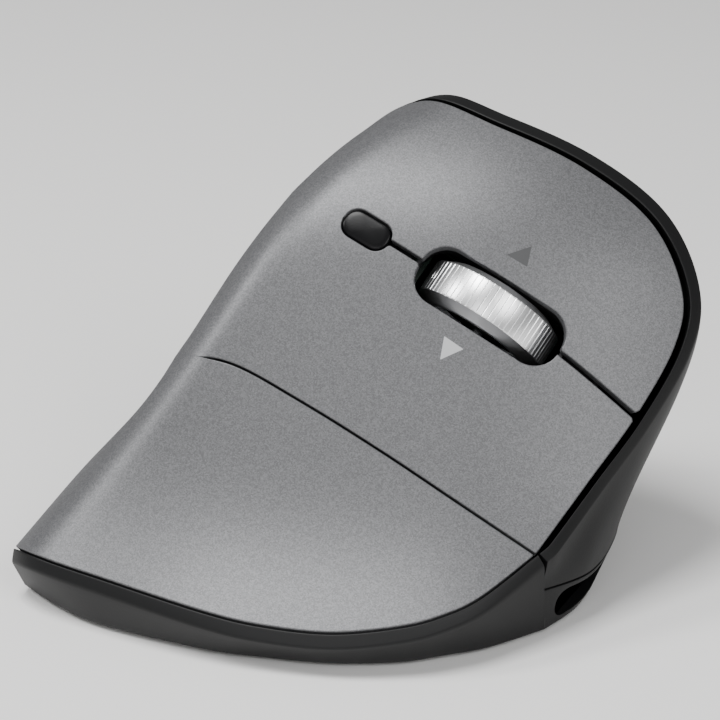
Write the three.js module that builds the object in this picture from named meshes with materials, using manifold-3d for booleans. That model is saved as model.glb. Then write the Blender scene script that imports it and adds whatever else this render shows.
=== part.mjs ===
// A right-handed vertical computer mouse, modelled in millimetres.
// +X is the user's right, +Y points away from the user, +Z is up, and the desk is at z = 0.
//
// The casing has one big sloping finger face on the right. It is described in face coordinates:
// a runs forward along +Y, b runs down the slope, and a height stands off the face's base plane.
// A black shell wraps from the face's rim over the ridge and down the thumb side to a tray-like base.

import * as THREE from 'three';
import { mergeVertices } from 'three/addons/utils/BufferGeometryUtils.js';
import Module from 'manifold-3d';

const wasm = await Module();
wasm.setup();

// ---------------------------------------------------------------- driving dimensions

const CENTRE_X = 16.5; // the casing's own middle in the design frame, moved to the origin at the end
const CENTRE_Y = 2.8;

const FACE_SLOPE = THREE.MathUtils.degToRad( 56 ); // the face's base plane against the desk
const FACE_CENTRE = new THREE.Vector3( 22, 0, 44 );
const ROLL_ANGLE = THREE.MathUtils.degToRad( 29 ); // the fingers point this far down the face
const PANEL = 2.0; // thickness of the outer mouldings
const KEY_GAP = 0.95; // gap between the two keys
const FRAME_DEPTH = 3.3; // top of the inner frame below the face
const FRAME_THICK = 1.5;

const FLOOR_Z = 0.8; // underside of the base, standing on its glide feet
const FLOOR_THICK = 2.0;

// two under the face, two on the thumb side
const SCREWS = [ [ 41, - 24 ], [ 41, 15 ], [ - 17.3, - 8 ], [ - 17.3, 14 ] ];

const WHEEL_AT = [ 24.4, - 7.3 ]; // on the face, as [ a, b ]
const WHEEL_R = 12.2;
const WHEEL_WIDTH = 8.4;
const WHEEL_BAND = 5.6;
const WHEEL_BEVEL = 2.4;
const WHEEL_DEPTH = 9.0; // axle below the face
const SLOT = { length: 27.4, width: 10.4, round: 4.6 };

const BOARD_DEPTH = 12.4; // top of the tilted circuit board below the face at the wheel
const BOARD_THICK = 1.2;
const SWITCH = { length: 12.8, width: 5.8, height: 5.2 }; // a low mouse microswitch
const PLUNGER_TOP = - 6.5; // in the wheel's frame
const SWITCH_X = 13.0; // plunger ahead of the wheel's axle
const SWITCH_Y = 12.4; // plunger to each side of the wheel

// ---------------------------------------------------------------- colours

const colours = {
	grey: [ 0x8d8e90, 0.5, 0.25 ],
	black: [ 0x1e1f21, 0.55, 0 ],
	gloss: [ 0x0b0b0c, 0.2, 0 ],
	frame: [ 0x17181a, 0.7, 0 ],
	alloy: [ 0xd4d6d8, 0.25, 1 ],
	steel: [ 0xb9bcc0, 0.35, 1 ],
	board: [ 0x1d5a36, 0.6, 0 ],
	chip: [ 0x18191b, 0.5, 0 ],
	cell: [ 0x4d7fb5, 0.4, 0 ],
	glide: [ 0x2b2c2e, 0.35, 0 ],
	lens: [ 0xc9d4dc, 0.1, 0 ],
	ribbon: [ 0xd9d3c2, 0.6, 0 ],
};

const root = new THREE.Group();

function addMesh( name, geometry, colour, parent = root ) {

	const [ color, roughness, metalness ] = colours[ colour ];
	const mesh = new THREE.Mesh( geometry, new THREE.MeshStandardMaterial( { color, roughness, metalness } ) );
	mesh.name = name;
	parent.add( mesh );
	return mesh;

}

// ---------------------------------------------------------------- joining and cutting

function toSolid( geometry ) {

	const bare = ( geometry.index ? geometry.toNonIndexed() : geometry.clone() );
	bare.deleteAttribute( 'normal' );
	bare.deleteAttribute( 'uv' );
	const merged = mergeVertices( bare, 1e-4 );
	return new wasm.Manifold( new wasm.Mesh( {
		numProp: 3,
		vertProperties: new Float32Array( merged.attributes.position.array ),
		triVerts: new Uint32Array( merged.index.array ),
	} ) );

}

function toGeometry( solid ) {

	const mesh = solid.getMesh();
	const geometry = new THREE.BufferGeometry();
	geometry.setAttribute( 'position', new THREE.BufferAttribute( new Float32Array( mesh.vertProperties ), 3 ) );
	geometry.setIndex( new THREE.BufferAttribute( new Uint32Array( mesh.triVerts ), 1 ) );
	return geometry;

}

const cut = ( from, ...tools ) => toGeometry( tools.reduce( ( s, t ) => s.subtract( toSolid( t ) ),
	toSolid( from ) ) );
const join = ( ...pieces ) => toGeometry( pieces.map( toSolid ).reduce( ( s, t ) => s.add( t ) ) );

// ---------------------------------------------------------------- the face surface

const FORWARD = new THREE.Vector3( 0, 1, 0 );
const DOWN = new THREE.Vector3( Math.cos( FACE_SLOPE ), 0, - Math.sin( FACE_SLOPE ) );
const OUT = new THREE.Vector3( Math.sin( FACE_SLOPE ), 0, Math.cos( FACE_SLOPE ) );

// A smooth version of max( x, 0 ).
const ramp = ( x, soft ) => ( x + Math.hypot( x, soft ) ) / 2;

// The ridge runs up the back from the heel tip to the top, in a shallow S.
const HEEL = new THREE.Vector2( - 53.5, 37.2 );
const TOP = new THREE.Vector2( 8.0, - 45.6 );
const ridgeLength = HEEL.distanceTo( TOP );
const ridgeAlong = TOP.clone().sub( HEEL ).normalize();
const ridgeOutward = new THREE.Vector2( ridgeAlong.y, - ridgeAlong.x );

// How far a face point lies inside the ridge.
function insideRidge( a, b ) {

	const from = new THREE.Vector2( a, b ).sub( HEEL );
	const u = THREE.MathUtils.clamp( from.dot( ridgeAlong ) / ridgeLength, 0, 1 );
	const bow = u * ( 1 - u ) * ( 0.6 - 29.6 * u + 74.6 * u * u );
	return bow - from.dot( ridgeOutward );

}

// Height of the face off its base plane: crowned at the top, front and back, flared out for the
// heel of the hand, and folded over at the ridge.
function faceHeight( a, b ) {

	const crown = ramp( - 12 - b, 8 ) ** 2 / 110 + ramp( a - 16, 10 ) ** 2 / 190
		+ ramp( - a - 12, 10 ) ** 2 / 260;
	const flare = ramp( b - 16, 8 ) ** 2 / 145;
	const fold = ramp( 6 - Math.max( insideRidge( a, b ), - 2 ), 3 ) ** 2 / 10;
	return flare - crown - fold;

}

function facePoint( a, b, lift = 0 ) {

	const p = FACE_CENTRE.clone().addScaledVector( FORWARD, a ).addScaledVector( DOWN, b )
		.addScaledVector( OUT, faceHeight( a, b ) );
	return lift === 0 ? p : p.addScaledVector( faceNormal( a, b ), lift );

}

function faceNormal( a, b ) {

	const step = 0.05;
	const alongA = facePoint( a + step, b ).sub( facePoint( a - step, b ) );
	const alongB = facePoint( a, b + step ).sub( facePoint( a, b - step ) );
	return alongB.cross( alongA ).normalize();

}

// A frame on the face: x along the fingers, y up the slope, z along the outward normal.
function faceFrame( a, b ) {

	const z = faceNormal( a, b );
	const x = FORWARD.clone().multiplyScalar( Math.cos( ROLL_ANGLE ) ).addScaledVector( DOWN,
		Math.sin( ROLL_ANGLE ) );
	x.addScaledVector( z, - x.dot( z ) ).normalize();
	const y = new THREE.Vector3().crossVectors( z, x );
	return new THREE.Matrix4().makeBasis( x, y, z ).setPosition( facePoint( a, b ) );

}

const spline = ( points ) => new THREE.SplineCurve( points.map( ( p ) => new THREE.Vector2( ...p ) ) );

// ---------------------------------------------------------------- closed slabs over a grid

// point( i, j, side ) gives the outer ( side 0 ) and inner ( side 1 ) skin, with i up to columns and j
// up to rows.
function slab( columns, rows, point, flip = false ) {

	const positions = [];
	const index = [];
	const at = ( i, j, side ) => ( side * ( rows + 1 ) + j ) * ( columns + 1 ) + i;
	for ( const side of [ 0, 1 ] )
		for ( let j = 0; j <= rows; j ++ )
			for ( let i = 0; i <= columns; i ++ ) positions.push( ...point( i, j, side ).toArray() );

	const quad = ( a, b, c, d ) => ( flip ? index.push( a, c, b, a, d, c ) : index.push( a, b, c, a, c, d ) );
	for ( let j = 0; j < rows; j ++ ) {

		for ( let i = 0; i < columns; i ++ ) {

			quad( at( i, j, 0 ), at( i + 1, j, 0 ), at( i + 1, j + 1, 0 ), at( i, j + 1, 0 ) );
			quad( at( i, j, 1 ), at( i, j + 1, 1 ), at( i + 1, j + 1, 1 ), at( i + 1, j, 1 ) );

		}

		quad( at( 0, j, 0 ), at( 0, j + 1, 0 ), at( 0, j + 1, 1 ), at( 0, j, 1 ) );
		quad( at( columns, j, 0 ), at( columns, j, 1 ), at( columns, j + 1, 1 ), at( columns, j + 1, 0 ) );

	}

	for ( let i = 0; i < columns; i ++ ) {

		quad( at( i, 0, 0 ), at( i, 0, 1 ), at( i + 1, 0, 1 ), at( i + 1, 0, 0 ) );
		quad( at( i, rows, 0 ), at( i + 1, rows, 0 ), at( i + 1, rows, 1 ), at( i, rows, 1 ) );

	}

	const geometry = new THREE.BufferGeometry();
	geometry.setAttribute( 'position', new THREE.Float32BufferAttribute( positions, 3 ) );
	geometry.setIndex( index );
	return geometry;

}

// A four-sided patch of the face between two rows ( left to right ) and two ends ( upper to lower ).
function patch( upper, lower, back, front ) {

	return ( u, v ) => {

		const blend = ( p, q, t ) => p.clone().lerp( q, t );
		const rows = blend( upper( u ), lower( u ), v );
		const ends = blend( back( v ), front( v ), u );
		const corners = blend( blend( upper( 0 ), upper( 1 ), u ), blend( lower( 0 ), lower( 1 ), u ), v );
		return rows.add( ends ).sub( corners );

	};

}

function facePanel( area, columns, rows, depth, thick, flip = true ) {

	return slab( columns, rows, ( i, j, side ) => {

		const p = area( i / columns, j / rows );
		return facePoint( p.x, p.y, - depth - side * thick );

	}, flip );

}

// ---------------------------------------------------------------- outlines on the face

// Face outline from the heel tip up the ridge, over the top and nose, down to the front corner.
const OUTLINE = [
	[ - 53.5, 37.2 ], [ - 44, 23.8 ], [ - 33.5, 12 ], [ - 26.5, 0 ], [ - 19, - 14 ], [ - 9.8, - 28 ],
	[ - 0.5, - 38.6 ], [ 8, - 45.6 ], [ 23.5, - 39.8 ], [ 38, - 33.3 ], [ 50, - 24.6 ], [ 55.8, - 13.5 ],
	[ 55.3, - 4 ], [ 49.6, 8.7 ], [ 42.6, 20.3 ], [ 34.8, 33.2 ],
];
const outline = spline( OUTLINE );
const LAST = OUTLINE.length - 1;
// The same outline by station number.
const rimAt = ( station ) => outline.getPoint( station / LAST );

function rimOutward( station ) {

	const step = 0.01;
	const along = rimAt( Math.min( station + step,
		LAST ) ).sub( rimAt( Math.max( station - step, 0 ) ) ).normalize();
	return new THREE.Vector2( along.y, - along.x );

}

// Lower edge of the palm panel, from the heel tip to the front corner.
const skirtEdge = spline( [
	[ - 53.5, 37.2 ], [ - 45.4, 39.7 ], [ - 36, 42.1 ], [ - 18.2, 46.5 ], [ - 8, 48.2 ], [ 3.5, 48.6 ],
	[ 14.3, 46.8 ], [ 20.8, 44.5 ], [ 26.6, 41 ], [ 34.8, 33.2 ],
] );

// The two split lines run along the fingers.
const keySplit = spline( [ [ - 22, - 33.5 ], [ 8, - 16.6 ], [ 24.4, - 7.3 ], [ 36.4, - 0.3 ],
	[ 49.6, 9.2 ] ] );
const palmSplit = spline( [ [ - 28.6, 3.6 ], [ - 18, 5 ], [ - 5.9, 10.6 ], [ 8.1, 18.1 ],
	[ 21.8, 26 ], [ 34.8, 33.5 ] ] );

// Where the keys flex: across the face, behind the small button.
const FLEX_STATION = 6.1; // where the flexure meets the outline
const FLEX_TOP = rimAt( FLEX_STATION );
const FLEX_PALM_T = 0.2; // along palmSplit
const flexPalm = palmSplit.getPoint( FLEX_PALM_T );
const FLEX_KEY_T = 0.115; // along keySplit
const flexMiddle = keySplit.getPoint( FLEX_KEY_T );

const shifted = ( p, along, side ) => p.clone().add( new THREE.Vector2( - along.y,
	along.x ).multiplyScalar( side ) );

// Part of a curve from t0 to t1, moved sideways on the face; a positive shift is down the slope.
function run( curve, t0, t1, shift ) {

	return ( u ) => {

		const t = t0 + ( t1 - t0 ) * u;
		return shifted( curve.getPoint( t ), curve.getTangent( t ), shift );

	};

}

const straight = ( p, q ) => ( u ) => p.clone().lerp( q, u );

// ---------------------------------------------------------------- tools for cutting and placing

const box = ( x, y, z, cx = 0, cy = 0, cz = 0 ) => new THREE.BoxGeometry( x, y, z ).translate( cx, cy, cz );

function cylinder( radius, length, axis = 'z', sides = 20 ) {

	const geometry = new THREE.CylinderGeometry( radius, radius, length, sides );
	if ( axis === 'z' ) geometry.rotateX( Math.PI / 2 );
	if ( axis === 'x' ) geometry.rotateZ( Math.PI / 2 );
	return geometry;

}

function roundedBar( length, width, round, height, segments = 5 ) {

	const x = length / 2 - round;
	const y = width / 2 - round;
	const shape = new THREE.Shape();
	shape.absarc( x, y, round, 0, Math.PI / 2 );
	shape.absarc( - x, y, round, Math.PI / 2, Math.PI );
	shape.absarc( - x, - y, round, Math.PI, 1.5 * Math.PI );
	shape.absarc( x, - y, round, 1.5 * Math.PI, 2 * Math.PI );
	return new THREE.ExtrudeGeometry( shape, { depth: height, bevelEnabled: false, curveSegments: segments } );

}

const wheelFrame = faceFrame( ...WHEEL_AT );
const onWheelFrame = ( geometry ) => geometry.applyMatrix4( wheelFrame );
const slotTool = () => onWheelFrame( roundedBar( SLOT.length, SLOT.width, SLOT.round,
	12 ).translate( 0, 0, - 9 ) );

// ---------------------------------------------------------------- the sloping panels

const DPI = { at: [ 2.9, - 19.1 ], length: 8.8, width: 5.4, round: 2.6, gap: 0.35 };
const dpiFrame = faceFrame( ...DPI.at );
const dpiTool = () => roundedBar( DPI.length + 2 * DPI.gap, DPI.width + 2 * DPI.gap, DPI.round + DPI.gap, 12 )
	.translate( 0, 0, - 9 ).applyMatrix4( dpiFrame );

const flexKeyLower = shifted( flexMiddle, keySplit.getTangent( FLEX_KEY_T ), 0.15 );
const flexKeyUpper = shifted( flexMiddle, keySplit.getTangent( FLEX_KEY_T ), - 0.15 );

// The gap between the keys opens from a hairline at the flexure to its full width at the nose.
const keyGapAt = ( u ) => 0.15 + ( KEY_GAP / 2 - 0.15 ) * THREE.MathUtils.smoothstep( u, 0, 0.2 );
const keySide = ( side ) => ( u ) => run( keySplit, FLEX_KEY_T, 1, side * keyGapAt( u ) )( u );

// Height of the face over a point of the wheel's frame, found by stepping towards that point.
function panelHeight( x, y ) {

	const inverse = wheelFrame.clone().invert();
	let [ a, b ] = WHEEL_AT;
	let p = new THREE.Vector3();
	for ( let i = 0; i < 30; i ++ ) {

		p = facePoint( a, b ).applyMatrix4( inverse );
		const ex = x - p.x;
		const ey = y - p.y;
		a += ex * Math.cos( ROLL_ANGLE ) + ey * Math.sin( ROLL_ANGLE );
		b += ex * Math.sin( ROLL_ANGLE ) - ey * Math.cos( ROLL_ANGLE );

	}

	return p.z;

}

// A nub under each key presses its microswitch.
function keyNub( side ) {

	const top = panelHeight( SWITCH_X, side * SWITCH_Y ) - PANEL / 2;
	const bottom = PLUNGER_TOP + 0.15;
	return onWheelFrame( cylinder( 1.5, top - bottom, 'z', 12 ).translate( SWITCH_X, side * SWITCH_Y,
		( top + bottom ) / 2 ) );

}

const NOSE_STATION = 10.4; // the left key's two long sides meet its end here
const SPLIT_STATION = 13; // where the key split reaches the front edge
const leftKeyArea = patch(
	( u ) => rimAt( FLEX_STATION + ( NOSE_STATION - FLEX_STATION ) * u ),
	keySide( - 1 ),
	straight( FLEX_TOP, flexKeyUpper ),
	( v ) => {

		const onRim = rimAt( NOSE_STATION + ( SPLIT_STATION - NOSE_STATION ) * v );
		return onRim.addScaledVector( keySide( - 1 )( 1 ).sub( rimAt( SPLIT_STATION ) ), v );

	},
);
const leftKey = facePanel( leftKeyArea, 18, 9, 0, PANEL );
addMesh( 'left_button', toGeometry( toSolid( cut( leftKey, slotTool(),
	dpiTool() ) ).add( toSolid( keyNub( 1 ) ) ) ), 'grey' );

const KEY_CORNER_T = 0.975; // the right key stops this far along the palm split
const rightKeyArea = patch(
	keySide( 1 ),
	run( palmSplit, FLEX_PALM_T, KEY_CORNER_T, - 0.4 ),
	straight( flexKeyLower, shifted( flexPalm, palmSplit.getTangent( FLEX_PALM_T ), - 0.4 ) ),
	( v ) => keySide( 1 )( 1 ).lerp( run( palmSplit, 0, KEY_CORNER_T, - 0.4 )( 1 ), v ),
);
const rightKey = facePanel( rightKeyArea, 16, 8, 0, PANEL );
addMesh( 'right_button', toGeometry( toSolid( cut( rightKey, slotTool(),
	dpiTool() ) ).add( toSolid( keyNub( - 1 ) ) ) ), 'grey' );

// The fixed strip along the ridge that carries both keys.
const FLEX_GAP = 0.3;
const PALM_STATION = 2.7; // where the palm split meets the ridge
const bridgeArea = patch(
	( u ) => rimAt( FLEX_STATION - 0.03 - ( FLEX_STATION - 0.03 - PALM_STATION - 0.03 ) * u ),
	( u ) => {

		const onFlex = u < 0.5 ? FLEX_TOP.clone().lerp( flexMiddle, 2 * u )
			: flexMiddle.clone().lerp( flexPalm, 2 * u - 1 );
		return onFlex.add( new THREE.Vector2( - FLEX_GAP, - 0.1 * u ) );

	},
	( v ) => rimAt( FLEX_STATION - 0.03 ).lerp( FLEX_TOP.clone().add( new THREE.Vector2( - FLEX_GAP, 0 ) ), v ),
	( v ) => run( palmSplit, 0.01, FLEX_PALM_T - 0.01, - 0.3 )( v ),
);
addMesh( 'button_bridge', facePanel( bridgeArea, 14, 6, 0, PANEL, false ), 'grey' );

const palmArea = patch(
	run( palmSplit, 0.01, 1, 0.3 ),
	( u ) => skirtEdge.getPoint( 0.004 + u * 0.98 ),
	( v ) => {

		const station = ( PALM_STATION - 0.06 ) * ( 1 - v );
		return rimAt( station ).addScaledVector( rimOutward( station ), - 0.3 );

	},
	( v ) => run( palmSplit, 0, 1, 0.3 )( 1 ).lerp( skirtEdge.getPoint( 0.984 ), v ),
);
addMesh( 'palm_panel', facePanel( palmArea, 18, 10, 0, PANEL ), 'grey' );

// ---------------------------------------------------------------- the black shell

// One row per outline station: the foot of the shell where it meets the base, how far the wall
// leans outwards under the rim, and how far it flares outwards at the foot.
const SHELL = [
	[ 36.0, - 53.2, 5.4, 0, 0 ], [ 24.5, - 51.4, 8.2, 0, 0.1 ], [ 9.5, - 47.4, 9, 0.05, 0.2 ],
	[ - 5.5, - 40.4, 9, 0.1, 0.35 ], [ - 15.0, - 32.0, 9, 0.15, 0.6 ], [ - 20.4, - 22.4, 9, 0.2, 0.85 ],
	[ - 23, - 12, 9, 0.3, 1.05 ], [ - 24, - 1, 9, 0.45, 1.1 ], [ - 24, 11, 9, 0.5, 1 ],
	[ - 22, 23.5, 9, 0.45, 0.75 ], [ - 15, 36, 9, 0.3, 0.4 ], [ - 2, 44.2, 9, 0.05, 0.05 ],
	[ 10.5, 47.2, 9, - 0.1, - 0.15 ], [ 22, 46.4, 9, - 0.1, - 0.2 ], [ 32.3, 43, 9, - 0.1, - 0.15 ],
	[ 39.6, 35.7, 9.2, - 0.1, - 0.1 ],
];
const RIM_DROP = 1.0;
const SHELL_FROM = 0.35;
const SHELL_TO = 14.97;

function shellRow( station ) {

	const k = THREE.MathUtils.clamp( Math.floor( station ), 0, LAST - 1 );
	const t = station - k;
	const row = ( i ) => SHELL[ THREE.MathUtils.clamp( i, 0, LAST ) ];
	return SHELL[ 0 ].map( ( _, c ) => {

		const [ p, q, r, s ] = [ row( k - 1 )[ c ], row( k )[ c ], row( k + 1 )[ c ], row( k + 2 )[ c ] ];
		return 0.5 * ( 2 * q + ( r - p ) * t + ( 2 * p - 5 * q + 4 * r - s ) * t * t
			+ ( 3 * q - p - 3 * r + s ) * t ** 3 );

	} );

}

function footPoint( station, z ) {

	const [ x, y, level ] = shellRow( station );
	return new THREE.Vector3( x, y, z ?? level );

}

function footOutward( station ) {

	const along = footPoint( Math.min( station + 0.02, LAST ),
		0 ).sub( footPoint( Math.max( station - 0.02, 0 ), 0 ) ).normalize();
	return new THREE.Vector3( - along.y, along.x, 0 );

}

// The groove between the panels and the rim: hairline at the back, widest at the nose.
function grooveAt( station ) {

	return 0.6 + 0.55 * THREE.MathUtils.smoothstep( station, 6,
		11 ) - 0.25 * THREE.MathUtils.smoothstep( station, 12, 15 );

}

// Width of the bevel around the face: narrow up the ridge, widest over the top.
function rimWidthAt( station ) {

	const { smoothstep } = THREE.MathUtils;
	return 1.8 + 1.4 * smoothstep( station, 6.4, 7.6 ) * ( 1 - smoothstep( station, 9, 13.5 ) );

}

// How far the rim sits below the face along the ridge, where the face rolls over it.
function ridgeDropAt( station ) {

	const { smoothstep } = THREE.MathUtils;
	return 0.6 * smoothstep( station, 0.4, 1.2 ) * ( 1 - smoothstep( station, 6.2, 7 ) );

}

// The rim's own axes: a point on the face's outline, the way out of the face, and the face normal.
function rimAxes( station ) {

	const rim = rimAt( station );
	const way = rimOutward( station );
	const normal = faceNormal( rim.x, rim.y );
	const step = 0.1;
	const out = facePoint( rim.x, rim.y ).sub( facePoint( rim.x - step * way.x,
		rim.y - step * way.y ) ).normalize();
	return { point: facePoint( rim.x, rim.y ), out, normal };

}

function rimEdge( station, width, drop ) {

	const { point, out, normal } = rimAxes( station );
	return point.addScaledVector( out, grooveAt( station ) + width ).addScaledVector( normal,
		- drop - ridgeDropAt( station ) );

}

function shellCurve( station ) {

	const [ , , , lean, flare ] = shellRow( station );
	const top = rimEdge( station, rimWidthAt( station ), RIM_DROP + ridgeDropAt( station ) );
	const down = new THREE.Vector3( 0, 0, - 1 ).addScaledVector( footOutward( station ), lean ).normalize();
	const foot = footPoint( station );
	const reach = top.distanceTo( foot ) * 0.36;
	const up = new THREE.Vector3( 0, 0, 1 ).addScaledVector( footOutward( station ), - flare ).normalize();
	return new THREE.CubicBezierCurve3(
		top, top.clone().addScaledVector( down, reach ), foot.clone().addScaledVector( up, reach ), foot,
	);

}

const shellPoint = ( station, t ) => shellCurve( station ).getPoint( t );

function shellNormal( station, t ) {

	const ds = 0.02;
	const dt = 0.01;
	const t0 = Math.max( t - dt, 0 );
	const t1 = Math.min( t + dt, 1 );
	const along = shellPoint( Math.min( station + ds, LAST ),
		t ).sub( shellPoint( Math.max( station - ds, 0 ), t ) );
	const downward = shellPoint( station, t1 ).sub( shellPoint( station, t0 ) );
	return along.cross( downward ).normalize();

}

// Outer skin ( side 0 ) and inner skin ( side 1 ) of the shell, row 0 being the rim's inner edge.
const SHELL_ROWS = 9;
function shellSkin( station, row, side ) {

	if ( row === 0 ) return rimEdge( station, side * 0.45, side * 2.3 );
	const t = ( row - 1 ) / ( SHELL_ROWS - 1 );
	if ( side === 0 ) return shellPoint( station, t );
	const curve = shellCurve( station );
	const start = Math.min( 2.4 / ( 3 * curve.v0.distanceTo( curve.v1 ) ), 0.4 );
	const tIn = start + ( 1 - start ) * t;
	const inner = shellPoint( station, tIn ).addScaledVector( shellNormal( station, tIn ), - PANEL );
	if ( row === SHELL_ROWS ) inner.z = curve.v3.z;
	return inner;

}

const SHELL_COLUMNS = 40;
const shellBlank = slab( SHELL_COLUMNS, SHELL_ROWS, ( i, j, side ) => {

	const station = SHELL_FROM + ( SHELL_TO - SHELL_FROM ) * i / SHELL_COLUMNS;
	return shellSkin( station, j, side );

} );

// Two thumb buttons share one opening each in the shell's upper front.
const THUMB = { rows: [ 0.2, 0.325 ], back: [ 7.35, 8.28 ], forward: [ 8.36, 9.3 ], gap: 0.35, proud: 0.9 };
function thumbPatch( [ from, to ], grow, high, low, columns, rows ) {

	const [ t0, t1 ] = THUMB.rows;
	const middle = shellPoint( ( from + to ) / 2, ( t0 + t1 ) / 2 );
	const perStation = shellPoint( to, ( t0 + t1 ) / 2 ).distanceTo( shellPoint( from,
		( t0 + t1 ) / 2 ) ) / ( to - from );
	const perT = shellPoint( ( from + to ) / 2, t1 ).distanceTo( shellPoint( ( from + to ) / 2,
		t0 ) ) / ( t1 - t0 );
	const ds = grow / perStation;
	const dt = grow / perT;
	return { middle, geometry: slab( columns, rows, ( i, j, side ) => {

		const station = from - ds + ( to - from + 2 * ds ) * i / columns;
		const t = t0 - dt + ( t1 - t0 + 2 * dt ) * j / rows;
		return shellPoint( station, t ).addScaledVector( shellNormal( station, t ), side === 0 ? high : low );

	} ) };

}

const thumbTool = ( span ) => thumbPatch( span, THUMB.gap, 4, - 5, 3, 2 ).geometry;

// Two short posts inside the shell's foot take the thumb side's screws.
function thumbPosts() {

	const low = FLOOR_Z + 8.2;
	const tube = ( [ x, y ] ) => cut(
		cylinder( 3, 2.9, 'z', 18 ).translate( x, y, low + 1.45 ),
		cylinder( 1.3, 5, 'z', 16 ).translate( x, y, low ),
	);
	return SCREWS.slice( 2 ).map( tube );

}

const shell = join( shellBlank, ...thumbPosts() );
addMesh( 'thumb_shell', cut( shell, thumbTool( THUMB.back ), thumbTool( THUMB.forward ) ), 'black' );

// A frame at the middle of a thumb button: z out of the shell, x forwards.
function thumbFrame( [ from, to ] ) {

	const station = ( from + to ) / 2;
	const t = ( THUMB.rows[ 0 ] + THUMB.rows[ 1 ] ) / 2;
	const z = shellNormal( station, t );
	const x = shellPoint( station + 0.1, t ).sub( shellPoint( station - 0.1, t ) );
	x.addScaledVector( z, - x.dot( z ) ).normalize();
	return new THREE.Matrix4().makeBasis( x, new THREE.Vector3().crossVectors( z, x ),
		z ).setPosition( shellPoint( station, t ) );

}

for ( const side of [ 'back', 'forward' ] ) {

	const cap = thumbPatch( THUMB[ side ], 0, THUMB.proud, - 1.6, 6, 3 ).geometry;
	const stem = cylinder( 1.3, 2.0, 'z', 12 ).translate( 0, 0,
		- 2.4 ).applyMatrix4( thumbFrame( THUMB[ side ] ) );
	addMesh( side + '_button', join( cap, stem ), 'gloss' );
	const tact = box( 6, 6, 1.9, 0, 0, - 5.0 ).applyMatrix4( thumbFrame( THUMB[ side ] ) );
	addMesh( side + '_switch', tact, 'chip' );

}

const thumbMiddle = thumbFrame( [ THUMB.back[ 0 ], THUMB.forward[ 1 ] ] );
addMesh( 'thumb_board', box( 26, 7, 0.8, 0, 0, - 6.9 ).applyMatrix4( thumbMiddle ), 'board' );

// ---------------------------------------------------------------- the base tray

// The tray's top edge follows the palm panel's lower edge on the right and the shell's foot elsewhere.
// Ground outline matched to the ten points of skirtEdge and the sixteen outline stations.
const groundRight = spline( [
	[ 35.6, - 52.4 ], [ 41.6, - 45.4 ], [ 46.8, - 36.4 ], [ 52, - 18.2 ], [ 53.1, - 8 ], [ 53.4, 3.3 ],
	[ 51.6, 14 ], [ 48.6, 21 ], [ 45, 28 ], [ 38.2, 36.4 ],
] );
const GROUND_LEFT = [
	[ 35.6, - 52.4 ], [ 24, - 49.8 ], [ 10, - 45.5 ], [ - 4.3, - 38.6 ], [ - 13.2, - 30.4 ], [ - 18.4, - 21.2 ],
	[ - 20.8, - 11.3 ], [ - 21.7, - 1 ], [ - 21.7, 10.6 ], [ - 19.8, 22.3 ], [ - 13.2, 33.6 ], [ - 1.3, 41.4 ],
	[ 10.5, 44.2 ], [ 21, 43.6 ], [ 30.6, 41 ], [ 38.2, 36.4 ],
];
const groundLeft = spline( GROUND_LEFT );
const TRAY_GAP = 0.35;

// Each tray station lists its outer wall from the ground up, then its inner wall down to the floor.
function trayRight( t ) {

	const edge = skirtEdge.getPoint( t );
	const along = skirtEdge.getTangent( t );
	const onFace = ( side, lift ) => {

		const p = shifted( edge, along, side );
		return facePoint( p.x, p.y, lift );

	};
	const ground = groundRight.getPoint( t );
	const inner = ground.clone().lerp( new THREE.Vector2( 14, - 2 ), 0.06 );
	const low = new THREE.Vector3( ground.x, ground.y, FLOOR_Z );
	const bevel = onFace( TRAY_GAP + 2, - 1 );
	const ledge = - 2.3 - 1.1 * THREE.MathUtils.smoothstep( t, 0.84, 0.95 ); // lower where the right key moves
	return [ low, low.clone().lerp( bevel, 0.5 ), bevel, onFace( TRAY_GAP, 0 ), onFace( TRAY_GAP, ledge ),
		onFace( - 2.2, ledge ), new THREE.Vector3( inner.x, inner.y, FLOOR_Z + FLOOR_THICK ) ];

}

function trayLeft( station ) {

	const foot = footPoint( station );
	const out = footOutward( station );
	const ground = groundLeft.getPoint( station / LAST );
	const inner = ground.clone().lerp( new THREE.Vector2( 14, - 2 ), 0.06 );
	const low = new THREE.Vector3( ground.x, ground.y, FLOOR_Z );
	const top = foot.clone().add( new THREE.Vector3( 0, 0, - TRAY_GAP ) );
	const bevel = top.clone().lerp( low, 0.14 );
	const lip = top.clone().addScaledVector( out, - 1 );
	const inside = top.clone().addScaledVector( out, - 2.2 );
	return [ low, low.clone().lerp( bevel, 0.5 ), bevel, top, lip, inside,
		new THREE.Vector3( inner.x, inner.y, FLOOR_Z + FLOOR_THICK ) ];

}

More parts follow.
